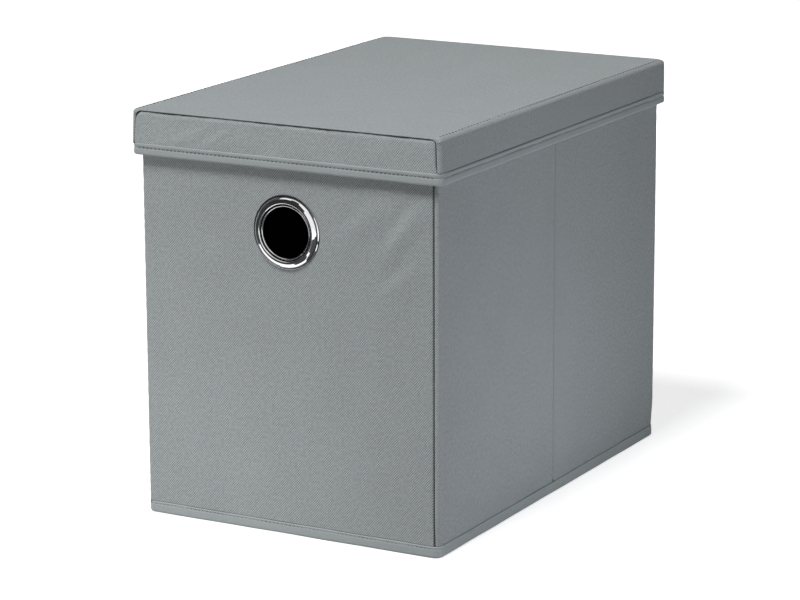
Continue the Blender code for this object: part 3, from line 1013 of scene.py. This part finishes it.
def make_bottom_binding():
    """Tape round the bottom edge, turned under the box and sewn near its upper edge."""
    under = 0.0017
    foot_round = 0.0022
    top_round = 0.0009
    turned_in = 0.0006
    rise = BINDING_TOP - foot_round - top_round
    legs = [
        (under + BINDING_PROUD - foot_round, 0), round_leg(foot_round), (rise, 0), round_leg(top_round),
        (turned_in, 0),
    ]
    line = sum(leg[0] for leg in legs[:3]) + top_round - BINDING_STITCH_DROP
    half = (HALF_WIDTH, HALF_DEPTH)
    tape, flat = make_tape_ring(
        "bottom_binding", "box", half, BINDING_CORNER, (-under, 0.0), 0.0, legs,
        stitched_dents(line, depth=0.0003, width=0.0007, height=0.00012, seed=23), SIDE_STITCH_EASE,
    )
    thread = make_stitches(
        "bottom_stitches", "box", (0, HALF_DEPTH), math.pi, loop_legs(*half, BINDING_CORNER),
        BINDING_PROUD - STITCH_SINK - STITCH_TIGHT, BINDING_TOP - BINDING_STITCH_DROP,
    )


def make_lid_hem():
    """Tape folded over the lid's lower edge, with its row of stitches."""
    inner = 0.0033
    foot_round = 0.0017
    top_round = 0.0007
    turned_in = 0.0006
    inside_height = 0.0075
    rise = HEM_TOP - HEM_FOOT - foot_round - top_round
    flat_foot = inner + HEM_PROUD - 2 * foot_round
    legs = [
        (inside_height, 0), round_leg(foot_round), (flat_foot, 0), round_leg(foot_round), (rise, 0),
        round_leg(top_round), (turned_in, 0),
    ]
    line = sum(leg[0] for leg in legs[:5]) + top_round - HEM_STITCH_DROP
    half = (LID_X, LID_Y)
    start = (-inner, HEM_FOOT + foot_round + inside_height)
    tape, flat = make_tape_ring(
        "lid_hem", "lid", half, HEM_CORNER, start, -math.pi / 2, legs,
        stitched_dents(line, depth=0.0004, width=0.0008, height=0.00016, seed=29), SIDE_STITCH_EASE,
    )
    thread = make_stitches(
        "hem_stitches", "lid", (0, LID_Y), math.pi, loop_legs(*half, HEM_CORNER), HEM_PROUD - STITCH_SINK,
        HEM_TOP - HEM_STITCH_DROP,
    )


make_bottom_binding()
make_lid_hem()


# Lid


def lid_rise(z):
    """Share of the way from the hem to the top of the lid."""
    return np.clip((z - HEM_TOP) / (LID_TOP - HEM_TOP), 0, 1)


def lid_round(x, z):
    """Radius in which the cover turns into a skirt seam, wider than the hem's own corner behind the hem."""
    foot = np.where(x > 0, LID_ROUND_FOOT_RIGHT, LID_ROUND_FOOT_LEFT)
    behind = np.clip((HEM_TOP - z) / LID_ROUND_EASE, 0, 1)
    return foot + (LID_ROUND_TOP - foot) * lid_rise(z) + (LID_ROUND_BEHIND - foot) * behind


def corner_fill(past):
    """Extra width of the cover's turned edge at an upper corner, by the distance past the bend's middle."""
    reach = np.where(past > LID_FILL_PAST, LID_FILL_ABOVE, LID_FILL_BELOW)
    return LID_CORNER_FILL * np.exp(-((past - LID_FILL_PAST) / reach) ** 2)


def above_hem(z):
    """0 behind the hem, 1 where cloth above it hangs free."""
    return np.clip((z - HEM_TOP) / HEM_CALM, 0, 1)


def make_lid_cover():
    """Cloth over the top and the two sides in one piece, with its ends turned in to the skirt seams."""
    leg = LID_TOP - LID_EDGE_RADIUS - LID_CLOTH_FOOT
    level = 2 * (LID_X - LID_EDGE_RADIUS)
    bend = round_leg(LID_EDGE_RADIUS)
    legs = [(leg, 0), bend, (level, 0), bend, (leg, 0)]
    edge_run = (bend[0] + EDGE_RUN, FINE_STEP)
    behind = (HEM_TOP - LID_CLOTH_FOOT, SIDE_HEM_LINE)
    line = (2 * SIDE_HEM_LINE, SIDE_HEM_LINE / LINE_STEPS)
    free = (leg - behind[0] - line[0], BROAD_STEP)
    flat = (level - 2 * EDGE_RUN, BROAD_STEP)
    across = stations(behind, line, free, edge_run, flat, edge_run, free, line, behind)
    width = across[-1]
    turn = LID_ROUND_TOP * math.pi / 2
    main = 2 * (LID_Y - LID_ROUND_TOP)
    tuck_run = (LID_SEAM_TUCK, FINE_STEP)
    along = stations(tuck_run, (turn, TAPE_FINE_STEP), (main, BROAD_STEP), (turn, TAPE_FINE_STEP), tuck_run)
    length = along[-1]

    def place(u, v):
        x, z, facing, out_x, out_z = walk((LID_X, LID_CLOTH_FOOT), math.pi / 2, legs, u)
        on_top = np.clip(1 - np.abs(facing - math.pi) / (math.pi / 2), 0, 1)
        radius = lid_round(x, z)
        radius = radius + (LID_FRONT_ROUND - radius) * on_top ** 0.5
        radius = radius + corner_fill(np.minimum(u, width - u) - leg - bend[0] / 2)
        from_end = np.minimum(v, length - v)
        tucked = np.clip(LID_SEAM_TUCK - from_end, 0, None)
        angle = np.clip((from_end - LID_SEAM_TUCK) / turn, 0, 1) * math.pi / 2
        inset = radius * (1 - np.sin(angle)) + tucked
        back = radius * (1 - np.cos(angle)) + LID_TUCK_DEPTH * np.clip(tucked / LID_TUCK_DEPTH, 0, 1)
        centre = (v - length / 2) / (main / 2)
        in_turn = from_end < LID_SEAM_TUCK + turn
        y = np.where(in_turn, np.sign(-centre) * (LID_Y - back), -centre * (LID_Y - radius))
        on_face = np.clip((from_end - LID_SEAM_TUCK - turn) / CALM_RUN, 0, 1)
        row = (LID_X - LID_ROW_INSET - np.abs(x)) * on_top
        groove = LID_ROW_DEPTH * np.exp(-(row / LID_ROW_WIDTH) ** 2) * (on_top > 0.5)
        gather = pucker(v, np.abs(row), LID_ROW_GATHER, LID_GATHER_PITCH, LID_GATHER_REACH, seed=37)
        loose = above_hem(z) * LID_SLACK * slack(u, v, LID_WAVES, seed=31)
        out = on_face * (loose + gather * on_top - groove)
        # Painted shade on the turned-in ends, seen through the seam gaps, and a painted shadow line along
        # the top of the hem
        shade = np.clip(tucked / LID_TUCK_SHADE_REACH, 0, 1)
        shade = shade + SIDE_HEM_PAINTED_SHADOW * seam_shade(z - HEM_TOP, SIDE_HEM_LINE)
        return x + out_x * (out - inset), y, z + out_z * (out - inset), shade

    cloth = lay_cloth("lid_cover_cloth", across, along, place)
    plain_cloth("lid", ["lid_cover"], "outer_fabric", cloth)
    for name, side_x in (("right", 1), ("left", -1)):
        start = (side_x * (LID_X - LID_ROW_INSET), -main / 2)
        make_stitches(
            name + "_top_stitches", "lid", start, math.pi / 2, [(main, 0)], LID_ROW_LIFT, LID_TOP,
            lying=True, pitch=LID_ROW_PITCH,
        )


def seam_gap(x, z):
    """Open width of a skirt seam: a tapered slit on the right and a nick at the upper left corner."""
    rise = lid_rise(z)
    slit = LID_SLIT * np.clip(rise / LID_SLIT_TAPER, 0, 1)
    nick = LID_NICK * np.clip((rise - LID_NICK_FROM) / (1 - LID_NICK_FROM), 0, 1)
    return SEAM_GAP + np.where(x > 0, slit, nick)


def make_lid_skirt(name, side_y, folds, seed):
    """Front or back skirt of the lid: a panel set into the cover, with rounded upper corners."""
    half = LID_X - LID_ROUND_TOP
    height = LID_TOP - LID_FRONT_ROUND - LID_CLOTH_FOOT
    across = edged_stations(2 * half)
    along = stations((height - EDGE_RUN, SKIRT_STEP), (EDGE_RUN, TAPE_FINE_STEP))

    def place(u, v):
        share = u / half - 1
        droop = LID_TOP_GAP_LEFT + (LID_TOP_GAP_RIGHT - LID_TOP_GAP_LEFT) * (share + 1) / 2
        top = LID_TOP - LID_FRONT_ROUND - droop
        z = LID_CLOTH_FOOT + v * (1 - droop / height)
        limit = LID_X - lid_round(-side_y * share, z) - seam_gap(share, z)
        x = share * limit
        to_side = limit - np.abs(x)
        to_top = top - z
        corner = np.where(share > 0, LID_CORNER_RIGHT, LID_CORNER_LEFT)
        corner_x = np.clip(1 - to_side / corner, 0, 1)
        corner_z = np.clip(1 - to_top / corner, 0, 1)
        drawn_x = corner * corner_x * (1 - np.sqrt(1 - corner_z ** 2 / 2))
        drawn_z = corner * corner_z * (1 - np.sqrt(1 - corner_x ** 2 / 2))
        gather = pucker(x, to_top, SKIRT_GATHER, LID_GATHER_PITCH, LID_GATHER_REACH, seed)
        out = SKIRT_SLACK * slack(x, z, SKIRT_WAVES, seed) + wrinkles(x, z, folds)
        out = above_hem(z) * (out + gather)
        out = out - roll(to_side, *SKIRT_SIDE_ROLL) - roll(to_top, *SKIRT_TOP_ROLL)
        # Painted shade along the seams: full at one end, at the other end only towards the top, and lighter
        # towards that end along the top
        tight = np.clip((lid_rise(z) - SKIRT_TIGHT_FROM) / SKIRT_TIGHT_RUN, 0, 1)
        side_shade = np.where(share > 0, 1, tight)
        top_shade = LID_TOP_SHADE_LEFT + (1 - LID_TOP_SHADE_LEFT) * (share + 1) / 2
        shade = np.maximum(
            side_shade * seam_shade(to_side, SKIRT_SHADE_REACH), top_shade * seam_shade(to_top, SKIRT_SHADE_REACH),
        )
        return -side_y * (x - np.sign(x) * drawn_x), side_y * (LID_Y + out), z - drawn_z, shade

    cloth = lay_cloth(name + "_cloth", across, along, place)
    # The skirts take the lighter copy of the cloth, painted light
    plain_cloth("lid", [name], "outer_fabric", cloth, "skirt_fabric_painted_light")


make_lid_cover()
make_lid_skirt("lid_front_skirt", -1, LID_WRINKLES, seed=41)
make_lid_skirt("lid_back_skirt", 1, (), seed=43)


# Tape over the rim, and the linings


def crease_bend(side, side_x, reach):
    """The two halves of a side wall and the stretch about their crease, as the body of a lining or tape."""
    x = side_x * HALF_WIDTH
    return (side + "_front_half", side + "_back_half", (x, -reach, 0), (x, reach, 0))


def make_rim_tape(name, body, nodes, start, heading, legs, flip, step=BROAD_STEP):
    """Tape folded over the top edge of a wall, sewn through near its outer foot."""
    rise = RIM_TOP - WALL / 2 - RIM_FOOT
    section = [(rise, 0), round_leg(WALL / 2 + RIM_PROUD, math.pi), (rise, 0)]
    across = leg_stations(legs, step)
    along = leg_stations(section, RIM_STEP)

    def place(u, v):
        x, y, _, out_x, out_y = walk(start, heading, legs, u)
        offset, z, _, out, _ = walk((RIM_PROUD, RIM_FOOT), math.pi / 2, section, v)
        offset = np.maximum(offset, -RIM_INNER_SHARE * WALL)
        off_row = v - RIM_STITCH_RISE
        groove = RIM_ROW_DEPTH * np.exp(-(off_row / RIM_ROW_WIDTH) ** 2)
        push = RIM_SLACK * slack(u, v, RIM_WAVES, seed=47) - groove
        offset = offset + out * push * (v < rise)
        # Painted shade along the sewn row
        shade = RIM_ROW_PAINTED_SHADE * np.exp(-(off_row / RIM_ROW_LINE) ** 2)
        return flip[0] * (x + out_x * offset), flip[1] * (y + out_y * offset), z, shade

    tape = lay_cloth(name + "_folded_tape", across, along, place, inside_out=flip[0] * flip[1] < 0)
    sew_on(tape, body, nodes, FINISHES["binding_tape"])


def make_rims():
    """Rim tapes on the four walls, and a short turned piece at each corner."""
    run = 2 * SEAM_X
    for name, body, turn in (("front", "box", 1), ("back", "back_wall", -1)):
        make_rim_tape(
            name + "_rim", body, [name + "_rim_tape"], (-SEAM_X, -HALF_DEPTH), 0, [(run, 0)], (turn, turn),
        )
    corner_leg = ((CORNER_BEND_END - 1) * CORNER_RADIUS, 0)
    turn_legs = [round_leg(CORNER_RADIUS), corner_leg]
    bent = {
        "front_right": (corner_bend("box", "right_front_half", 1, -1), (1, 1)),
        "front_left": (corner_bend("box", "left_front_half", -1, -1), (-1, 1)),
        "back_right": (corner_bend("back_wall", "right_back_half", 1, 1), (1, -1)),
        "back_left": ("back_wall", (-1, -1)),
    }
    for name, (body, flip) in bent.items():
        legs = turn_legs if name != "back_left" else turn_legs[:1]
        make_rim_tape(name + "_rim", body, [], (SEAM_X, -HALF_DEPTH), 0, legs, flip)
    begin = CORNER_BEND_END * CORNER_RADIUS - HALF_DEPTH
    for side, side_x, end in (("right", 1, -begin), ("left", -1, HALF_DEPTH - CORNER_RADIUS)):
        nodes = [side + "_front_rim_tape", side + "_back_rim_tape"]
        make_rim_tape(
            side + "_rim", crease_bend(side, side_x, RIM_BEND), nodes, (HALF_WIDTH, begin), math.pi / 2,
            [(end - begin, 0)], (side_x, 1), RIM_CREASE_STEP,
        )


def make_lining(name, body, nodes, half, depth, turn, seed, hole=None):
    """Lining of one wall, flat behind its board. It is drawn for the front wall and turned to place."""
    across = edged_stations(2 * half)
    along = stations((RIM_FOOT - CLOTH_FOOT, LINING_STEP))

    def place(u, v):
        x = half - u
        z = CLOTH_FOOT + v
        edge = half - np.abs(x)
        loose = LINING_SLACK * slack(u, v, LINING_WAVES, seed) * np.clip(edge / CALM_RUN, 0, 1)
        y = WALL - depth - LINING_SINK + loose
        cos, sin = math.cos(turn), math.sin(turn)
        # Painted shade at the lining's edges
        return cos * x - sin * y, sin * x + cos * y, z, LINING_EDGE_PAINTED_SHADE * seam_shade(edge)

    cloth = lay_cloth(name + "_cloth", across, along, place, hole=hole, thickness=LINING_CLOTH)
    plain_cloth(body, nodes, "lining_fabric", cloth)


def make_linings():
    """Linings of the four walls; each side's lining is one piece across both halves of its wall."""
    end_half = HALF_WIDTH - WALL
    side_half = HALF_DEPTH - WALL
    make_lining(
        "front_lining", "box", ["front_lining"], end_half, HALF_DEPTH, 0, seed=53,
        hole=(EYELET_CENTRE, EYELET_RADIUS * CLOTH_HOLE_SHARE),
    )
    make_lining(
        "back_lining", "back_wall", ["back_lining"], end_half, HALF_DEPTH, math.pi, seed=59,
    )
    for side, side_x, seed in (("right", 1, 61), ("left", -1, 67)):
        make_lining(
            side + "_lining", crease_bend(side, side_x, LINING_BEND),
            [side + "_front_lining", side + "_back_lining"], side_half,
            HALF_WIDTH, side_x * math.pi / 2, seed,
        )


make_rims()
make_linings()


# Covered boards and sheets drawn from a block


def block(name, low, high):
    """A block between two corners, with its place in its mesh."""
    deselect_all()
    bpy.ops.mesh.primitive_cube_add(size=1, location=(low + high) / 2, scale=high - low)
    piece = bpy.context.object
    piece.name = name
    bpy.ops.object.transform_apply(location=True, rotation=True, scale=True)
    return piece


def select_parts(piece, kind, wanted):
    """Enter edit mode with only those faces or edges selected that wanted accepts."""
    make_active(piece)
    bpy.ops.object.mode_set(mode="EDIT")
    bpy.ops.mesh.select_mode(type=kind)
    bpy.ops.mesh.select_all(action="DESELECT")
    bpy.ops.object.mode_set(mode="OBJECT")
    for part in piece.data.polygons if kind == "FACE" else piece.data.edges:
        part.select = wanted(part)
    bpy.ops.object.mode_set(mode="EDIT")


def make_covering(name, body, node, slot, edge, seed):
    """Cloth drawn over a board or into the lid: a block without its underside, with soft edges."""
    low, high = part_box(node)
    cloth = block(name, low, high)
    select_parts(cloth, "FACE", lambda face: face.normal.z > FACING_DOWN)
    bpy.ops.mesh.bevel(offset=edge, segments=4, affect="EDGES")
    bpy.ops.object.mode_set(mode="OBJECT")
    select_parts(cloth, "FACE", lambda face: face.normal.z < FACING_DOWN)
    bpy.ops.mesh.delete(type="FACE")
    bpy.ops.object.mode_set(mode="OBJECT")
    apply_modifier(
        cloth, "SUBSURF", subdivision_type="SIMPLE", levels=COVERING_LEVELS, render_levels=COVERING_LEVELS,
    )
    spots = np.array([corner.co for corner in cloth.data.vertices])
    rise = COVERING_SLACK * slack(spots[:, 0], spots[:, 1], COVERING_WAVES, seed)
    spots[:, 2] -= np.abs(rise) * (spots[:, 2] > high.z - edge)
    cloth.data.vertices.foreach_set("co", spots.ravel())
    edit(cloth, lambda: bpy.ops.uv.cube_project(cube_size=1, correct_aspect=False))
    apply_modifier(cloth, "SOLIDIFY", thickness=CLOTH, offset=-1)
    bpy.ops.object.shade_smooth_by_angle(angle=SMOOTH_UP_TO)
    plain_cloth(body, [node], slot, cloth)


def make_bottom_sheet():
    """Flat cloth under the box, with its corners cut round."""
    low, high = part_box("bottom_sheet")
    deselect_all()
    size = high - low
    bpy.ops.mesh.primitive_plane_add(size=1, location=(0, 0, low.z), rotation=(math.pi, 0, 0))
    cloth = bpy.context.object
    cloth.name = "bottom_sheet_cloth"
    cloth.scale = (size.x, size.y, 1)
    bpy.ops.object.transform_apply(location=True, rotation=True, scale=True)
    edit(
        cloth,
        lambda: bpy.ops.mesh.bevel(
            offset=BINDING_CORNER * SHEET_CORNER_SHARE, segments=6, affect="VERTICES",
        ),
        lambda: bpy.ops.mesh.inset(thickness=SHEET_INSET, depth=0),
        lambda: bpy.ops.uv.cube_project(cube_size=1, correct_aspect=False),
    )
    apply_modifier(cloth, "SOLIDIFY", thickness=CLOTH, offset=-1)
    plain_cloth("box", ["bottom_sheet"], "outer_fabric", cloth)


make_covering(
    "base_cover_cloth", "box", "base_cover", "lining_fabric", edge=0.0012, seed=71,
)
make_covering(
    "lid_lining_cloth", "lid", "lid_lining", "lining_fabric", edge=0.003, seed=73,
)
make_bottom_sheet()


# Eyelet


def turn_ring(name, body, node, profile, crevices=()):
    """Turn a ring as on a lathe: a circle drawn out from point to point of a profile and closed on itself.

    The profile's points are (radius, distance in front of the wall).
    Crevices are radii where painted shade darkens the chrome.
    """
    centre = Vector((EYELET_CENTRE.x, -HALF_DEPTH, EYELET_CENTRE.z))
    radius, front = profile[0]
    deselect_all()
    bpy.ops.mesh.primitive_circle_add(
        vertices=RING_STEPS, radius=radius,
        location=centre - Vector((0, front, 0)), rotation=(math.pi / 2, 0, 0),
    )
    ring = bpy.context.object
    ring.name = name
    bpy.ops.object.transform_apply(location=True, rotation=True, scale=True)
    bpy.ops.object.mode_set(mode="EDIT")
    bpy.ops.mesh.select_mode(type="EDGE")
    bpy.ops.mesh.select_all(action="SELECT")
    for (old_radius, old_front), (new_radius, new_front) in zip(profile, profile[1:]):
        bpy.ops.mesh.extrude_region_move(TRANSFORM_OT_translate={"value": (0, old_front - new_front, 0)})
        growth = new_radius / old_radius
        bpy.ops.transform.resize(
            value=(growth, 1, growth), center_override=centre - Vector((0, new_front, 0)),
        )
    bpy.ops.mesh.select_all(action="DESELECT")
    bpy.ops.mesh.select_non_manifold()
    bpy.ops.mesh.bridge_edge_loops()
    bpy.ops.mesh.select_all(action="SELECT")
    bpy.ops.mesh.normals_make_consistent(inside=False)
    bpy.ops.object.mode_set(mode="OBJECT")
    bpy.ops.object.shade_smooth_by_angle(angle=RING_SMOOTH_UP_TO)
    spots = [corner.co - centre for corner in ring.data.vertices]
    reach = np.array([math.hypot(spot.x, spot.z) for spot in spots])
    # Painted shade at the outer edge, the step and the groove by the lip
    crevice_shade = np.zeros_like(reach)
    for crevice in crevices:
        crevice_shade += np.exp(-((reach - crevice) / EYELET_SHADE_WIDTH) ** 2)
    ring.data.attributes.new("seam", "FLOAT", "POINT").data.foreach_set("value", np.clip(crevice_shade, 0, 1))
    sew_on(ring, body, [node], FINISHES["eyelet_metal"])


def arch(inner, crest, outer, base, height, start=0.0, stop=math.pi):
    """Points of a rounded bead from its outer radius over its crest to its inner one."""
    points = []
    for step in range(EYELET_ARCH_STEPS + 1):
        angle = start + (stop - start) * step / EYELET_ARCH_STEPS
        reach = outer - crest if angle < math.pi / 2 else crest - inner
        points.append((crest + reach * math.cos(angle), base + height * math.sin(angle)))
    return points


def climb(radius, front, slopes):
    """Points of a face that rises inward over slopes of (width, tilt in degrees)."""
    points = [(radius, front)]
    for width, tilt in slopes:
        for _ in range(EYELET_SLOPE_STEPS):
            radius -= width / EYELET_SLOPE_STEPS
            front += width / EYELET_SLOPE_STEPS * math.tan(math.radians(tilt))
            points.append((radius, front))
    return points


def make_eyelet():
    """Domed chrome ring with a stepped edge and a rolled inner lip, and the plain ring behind the wall."""
    bore = EYELET_RADIUS * EYELET_BORE_SHARE
    barrel = bore + EYELET_BARREL
    barrel_end = -HALF_DEPTH - EYELET_HIGH.y
    dome_height = -HALF_DEPTH - EYELET_LOW.y
    lip_out = bore + EYELET_LIP
    lip = (bore + lip_out) / 2
    crest = EYELET_RADIUS - sum(width for width, _ in EYELET_SLOPES)
    edge = dome_height - sum(width * math.tan(math.radians(tilt)) for width, tilt in EYELET_SLOPES)
    step_foot = EYELET_RADIUS - EYELET_SLOPES[0][0] - EYELET_SLOPES[1][0]
    profile = [(barrel, barrel_end), (barrel, EYELET_SEAT), (EYELET_RADIUS - EYELET_UNDERCUT, EYELET_SEAT)]
    profile += climb(EYELET_RADIUS, edge, EYELET_SLOPES)
    fall = dome_height - EYELET_GROOVE
    profile += arch(lip_out, crest, crest, EYELET_GROOVE, fall, math.pi / 2, EYELET_FALL_STOP)[1:]
    profile += [(lip_out, EYELET_SEAT)]
    profile += arch(bore, lip, lip_out - EYELET_SLOT, EYELET_GROOVE, EYELET_LIP_RISE)
    profile += [(bore, 0.0), (bore, barrel_end)]
    turn_ring("eyelet_ring", "box", "eyelet_front", profile, (EYELET_RADIUS, step_foot, lip_out))

    seat = -HALF_DEPTH - BACK_RING_LOW.y
    outer = (BACK_RING_HIGH.x - BACK_RING_LOW.x) / 2
    inner = barrel + BACK_RING_FIT
    thick = BACK_RING_HIGH.y - BACK_RING_LOW.y
    profile = [
        (inner, seat - thick), (inner, seat), (outer - BACK_RING_CHAMFER, seat),
        (outer, seat - BACK_RING_CHAMFER),
    ]
    for step in range(BACK_RING_STEPS + 1):
        down = BACK_RING_FLAT + (1 - BACK_RING_FLAT) * step / BACK_RING_STEPS
        profile.append((outer - BACK_RING_FALL * step ** 2, seat - thick * down))
    turn_ring("eyelet_back_ring", "box", "eyelet_back", profile)


make_eyelet()

for node_name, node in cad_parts.items():
    if node_name.endswith("_board"):
        node.data.materials.clear()
        node.data.materials.append(FINISHES["cardboard"])


# Camera, light and floor

CAMERA_PLACE = (1.19485, -2.18303, 0.74709)
CAMERA_YAW = 28.877
CAMERA_PITCH = 13.688
CAMERA_ROLL = -0.215
CAMERA_LENS = 145.76
FLOOR_SIZE = 24.0
LAMPS = {
    "key": ((-0.10, -1.25, 2.65), 0.8, 81.0, (0.995, 1.0, 1.01)),
    "left_fill": ((-0.34, -0.46, 0.06), 0.1, 0.34, (1.0, 0.985, 0.97)),
    "front_foot_fill": ((-0.04, -0.34, 0.03), 0.05, 0.034, (1.0, 1.0, 0.98)),
    "right_fill": ((0.70, -0.15, 0.08), 0.14, 1.05, (0.945, 0.995, 1.06)),
    "right_foot_fill": ((0.33, 0.0, 0.03), 0.05, 0.05, (0.97, 1.0, 1.02)),
    "back_fill": ((-0.30, 1.80, 0.17), 0.3, 9.0, (1.0, 1.0, 1.0)),
    "left_side_fill": ((-1.70, 0.40, 0.17), 0.3, 6.0, (1.0, 1.0, 1.0)),
}
SKY_LEVEL = 0.02
FLOOR_GLOW = 0.74
FLOOR_NEAR = 0.7
FLOOR_FAR = 2.2
CARD_FOOT = 0.004

# Dark cards by their middle, width and height, turn in degrees and the toe that lies on the floor
DARK_CARDS = {
    "front_card": ((-0.59, -0.95), (1.22, 1.25), 0, (0, 0.605, 0)),
    "left_card": ((-1.20, 0.125), (2.15, 2.0), 90, (0.70, 0, 0)),
    "right_card": ((1.20, -0.55), (0.75, 2.0), 90, (-1.15, 0, 0)),
}


def add_camera():
    camera = bpy.data.objects.new("camera", bpy.data.cameras.new("camera"))
    bpy.context.scene.collection.objects.link(camera)
    camera.data.lens = CAMERA_LENS
    turn = Matrix.Rotation(math.radians(CAMERA_YAW), 4, "Z")
    tilt = Matrix.Rotation(math.radians(90 - CAMERA_PITCH), 4, "X")
    lean = Matrix.Rotation(math.radians(CAMERA_ROLL), 4, "Z")
    camera.matrix_world = Matrix.Translation(CAMERA_PLACE) @ turn @ tilt @ lean
    camera.data.clip_end = 100
    bpy.context.scene.camera = camera


def add_lamps():
    for name, (place, size, power, colour) in LAMPS.items():
        lamp = bpy.data.lights.new(name, "AREA")
        lamp.shape = "DISK"
        lamp.size = size
        lamp.energy = power
        lamp.color = colour
        light = bpy.data.objects.new(name, lamp)
        bpy.context.scene.collection.objects.link(light)
        light.location = place
        light.visible_camera = False
        light.visible_glossy = False
        aim = Vector((0, 0, LID_TOP / 2)) - Vector(place)
        light.rotation_euler = aim.to_track_quat("-Z", "Y").to_euler()


def draw_out(piece, wanted, step):
    """Extrude the edges whose two corners wanted(place) accepts."""
    def both_wanted(side):
        return all(wanted(piece.data.vertices[index].co) for index in side.vertices)

    select_parts(piece, "EDGE", both_wanted)
    bpy.ops.mesh.extrude_region_move(TRANSFORM_OT_translate={"value": step})
    bpy.ops.object.mode_set(mode="OBJECT")


def add_dark_cards():
    """Dark cards round the front of the box, seen only in mirrored light, for the polished eyelet."""
    material, _, shader = start_material("dark_card")
    shader.inputs["Base Color"].default_value = (0.05, 0.05, 0.05, 1)
    shader.inputs["Roughness"].default_value = 0.8
    for name, (middle, (width, height), turn, toe) in DARK_CARDS.items():
        deselect_all()
        bpy.ops.mesh.primitive_plane_add(size=1, rotation=(math.pi / 2, 0, math.radians(turn)))
        card = bpy.context.object
        card.name = name
        card.scale = (width, height, 1)
        card.location = (*middle, CARD_FOOT + height / 2)
        bpy.ops.object.transform_apply(location=True, rotation=True, scale=True)
        draw_out(card, lambda place: place.z < 2 * CARD_FOOT, toe)
        card.data.materials.append(material)
        card.visible_camera = False
        card.visible_diffuse = False
        card.visible_shadow = False
        card.visible_transmission = False


def seen_directly(tree):
    """1 for rays that show the surroundings: straight from the camera, mirrored or through glass."""
    path = tree.nodes.new("ShaderNodeLightPath")
    shown = calculate(tree, "MAXIMUM", path.outputs["Is Camera Ray"], path.outputs["Is Glossy Ray"])
    return calculate(tree, "MAXIMUM", shown, path.outputs["Is Transmission Ray"])


def add_world():
    world = bpy.data.worlds.new("studio")
    bpy.context.scene.world = world
    world.use_nodes = True
    tree = world.node_tree
    background = tree.nodes["Background"]
    background.inputs["Color"].default_value = (1, 1, 1, 1)
    strength = calculate(tree, "MULTIPLY_ADD", seen_directly(tree), 1 - SKY_LEVEL, SKY_LEVEL)
    link(tree, strength, background.inputs["Strength"])


def add_floor():
    deselect_all()
    bpy.ops.mesh.primitive_plane_add(size=FLOOR_SIZE)
    floor = bpy.context.object
    floor.name = "floor"
    material, tree, shader = start_material("pale_floor")
    shader.inputs["Base Color"].default_value = (0.60, 0.60, 0.60, 1)
    shader.inputs["Roughness"].default_value = 0.9
    shader.inputs["Specular IOR Level"].default_value = 0.1
    shader.inputs["Emission Color"].default_value = (1, 1, 1, 1)
    place = tree.nodes.new("ShaderNodeTexCoord")
    away = tree.nodes.new("ShaderNodeVectorMath")
    away.operation = "LENGTH"
    link(tree, place.outputs["Object"], away.inputs[0])
    glow = spread(tree, away.outputs["Value"], FLOOR_NEAR, FLOOR_FAR, FLOOR_GLOW, 1.0)
    link(tree, calculate(tree, "MULTIPLY", seen_directly(tree), glow), shader.inputs["Emission Strength"])
    floor.data.materials.append(material)


add_camera()
add_lamps()
add_dark_cards()
add_world()
add_floor()
bpy.context.scene.view_settings.view_transform = "Standard"
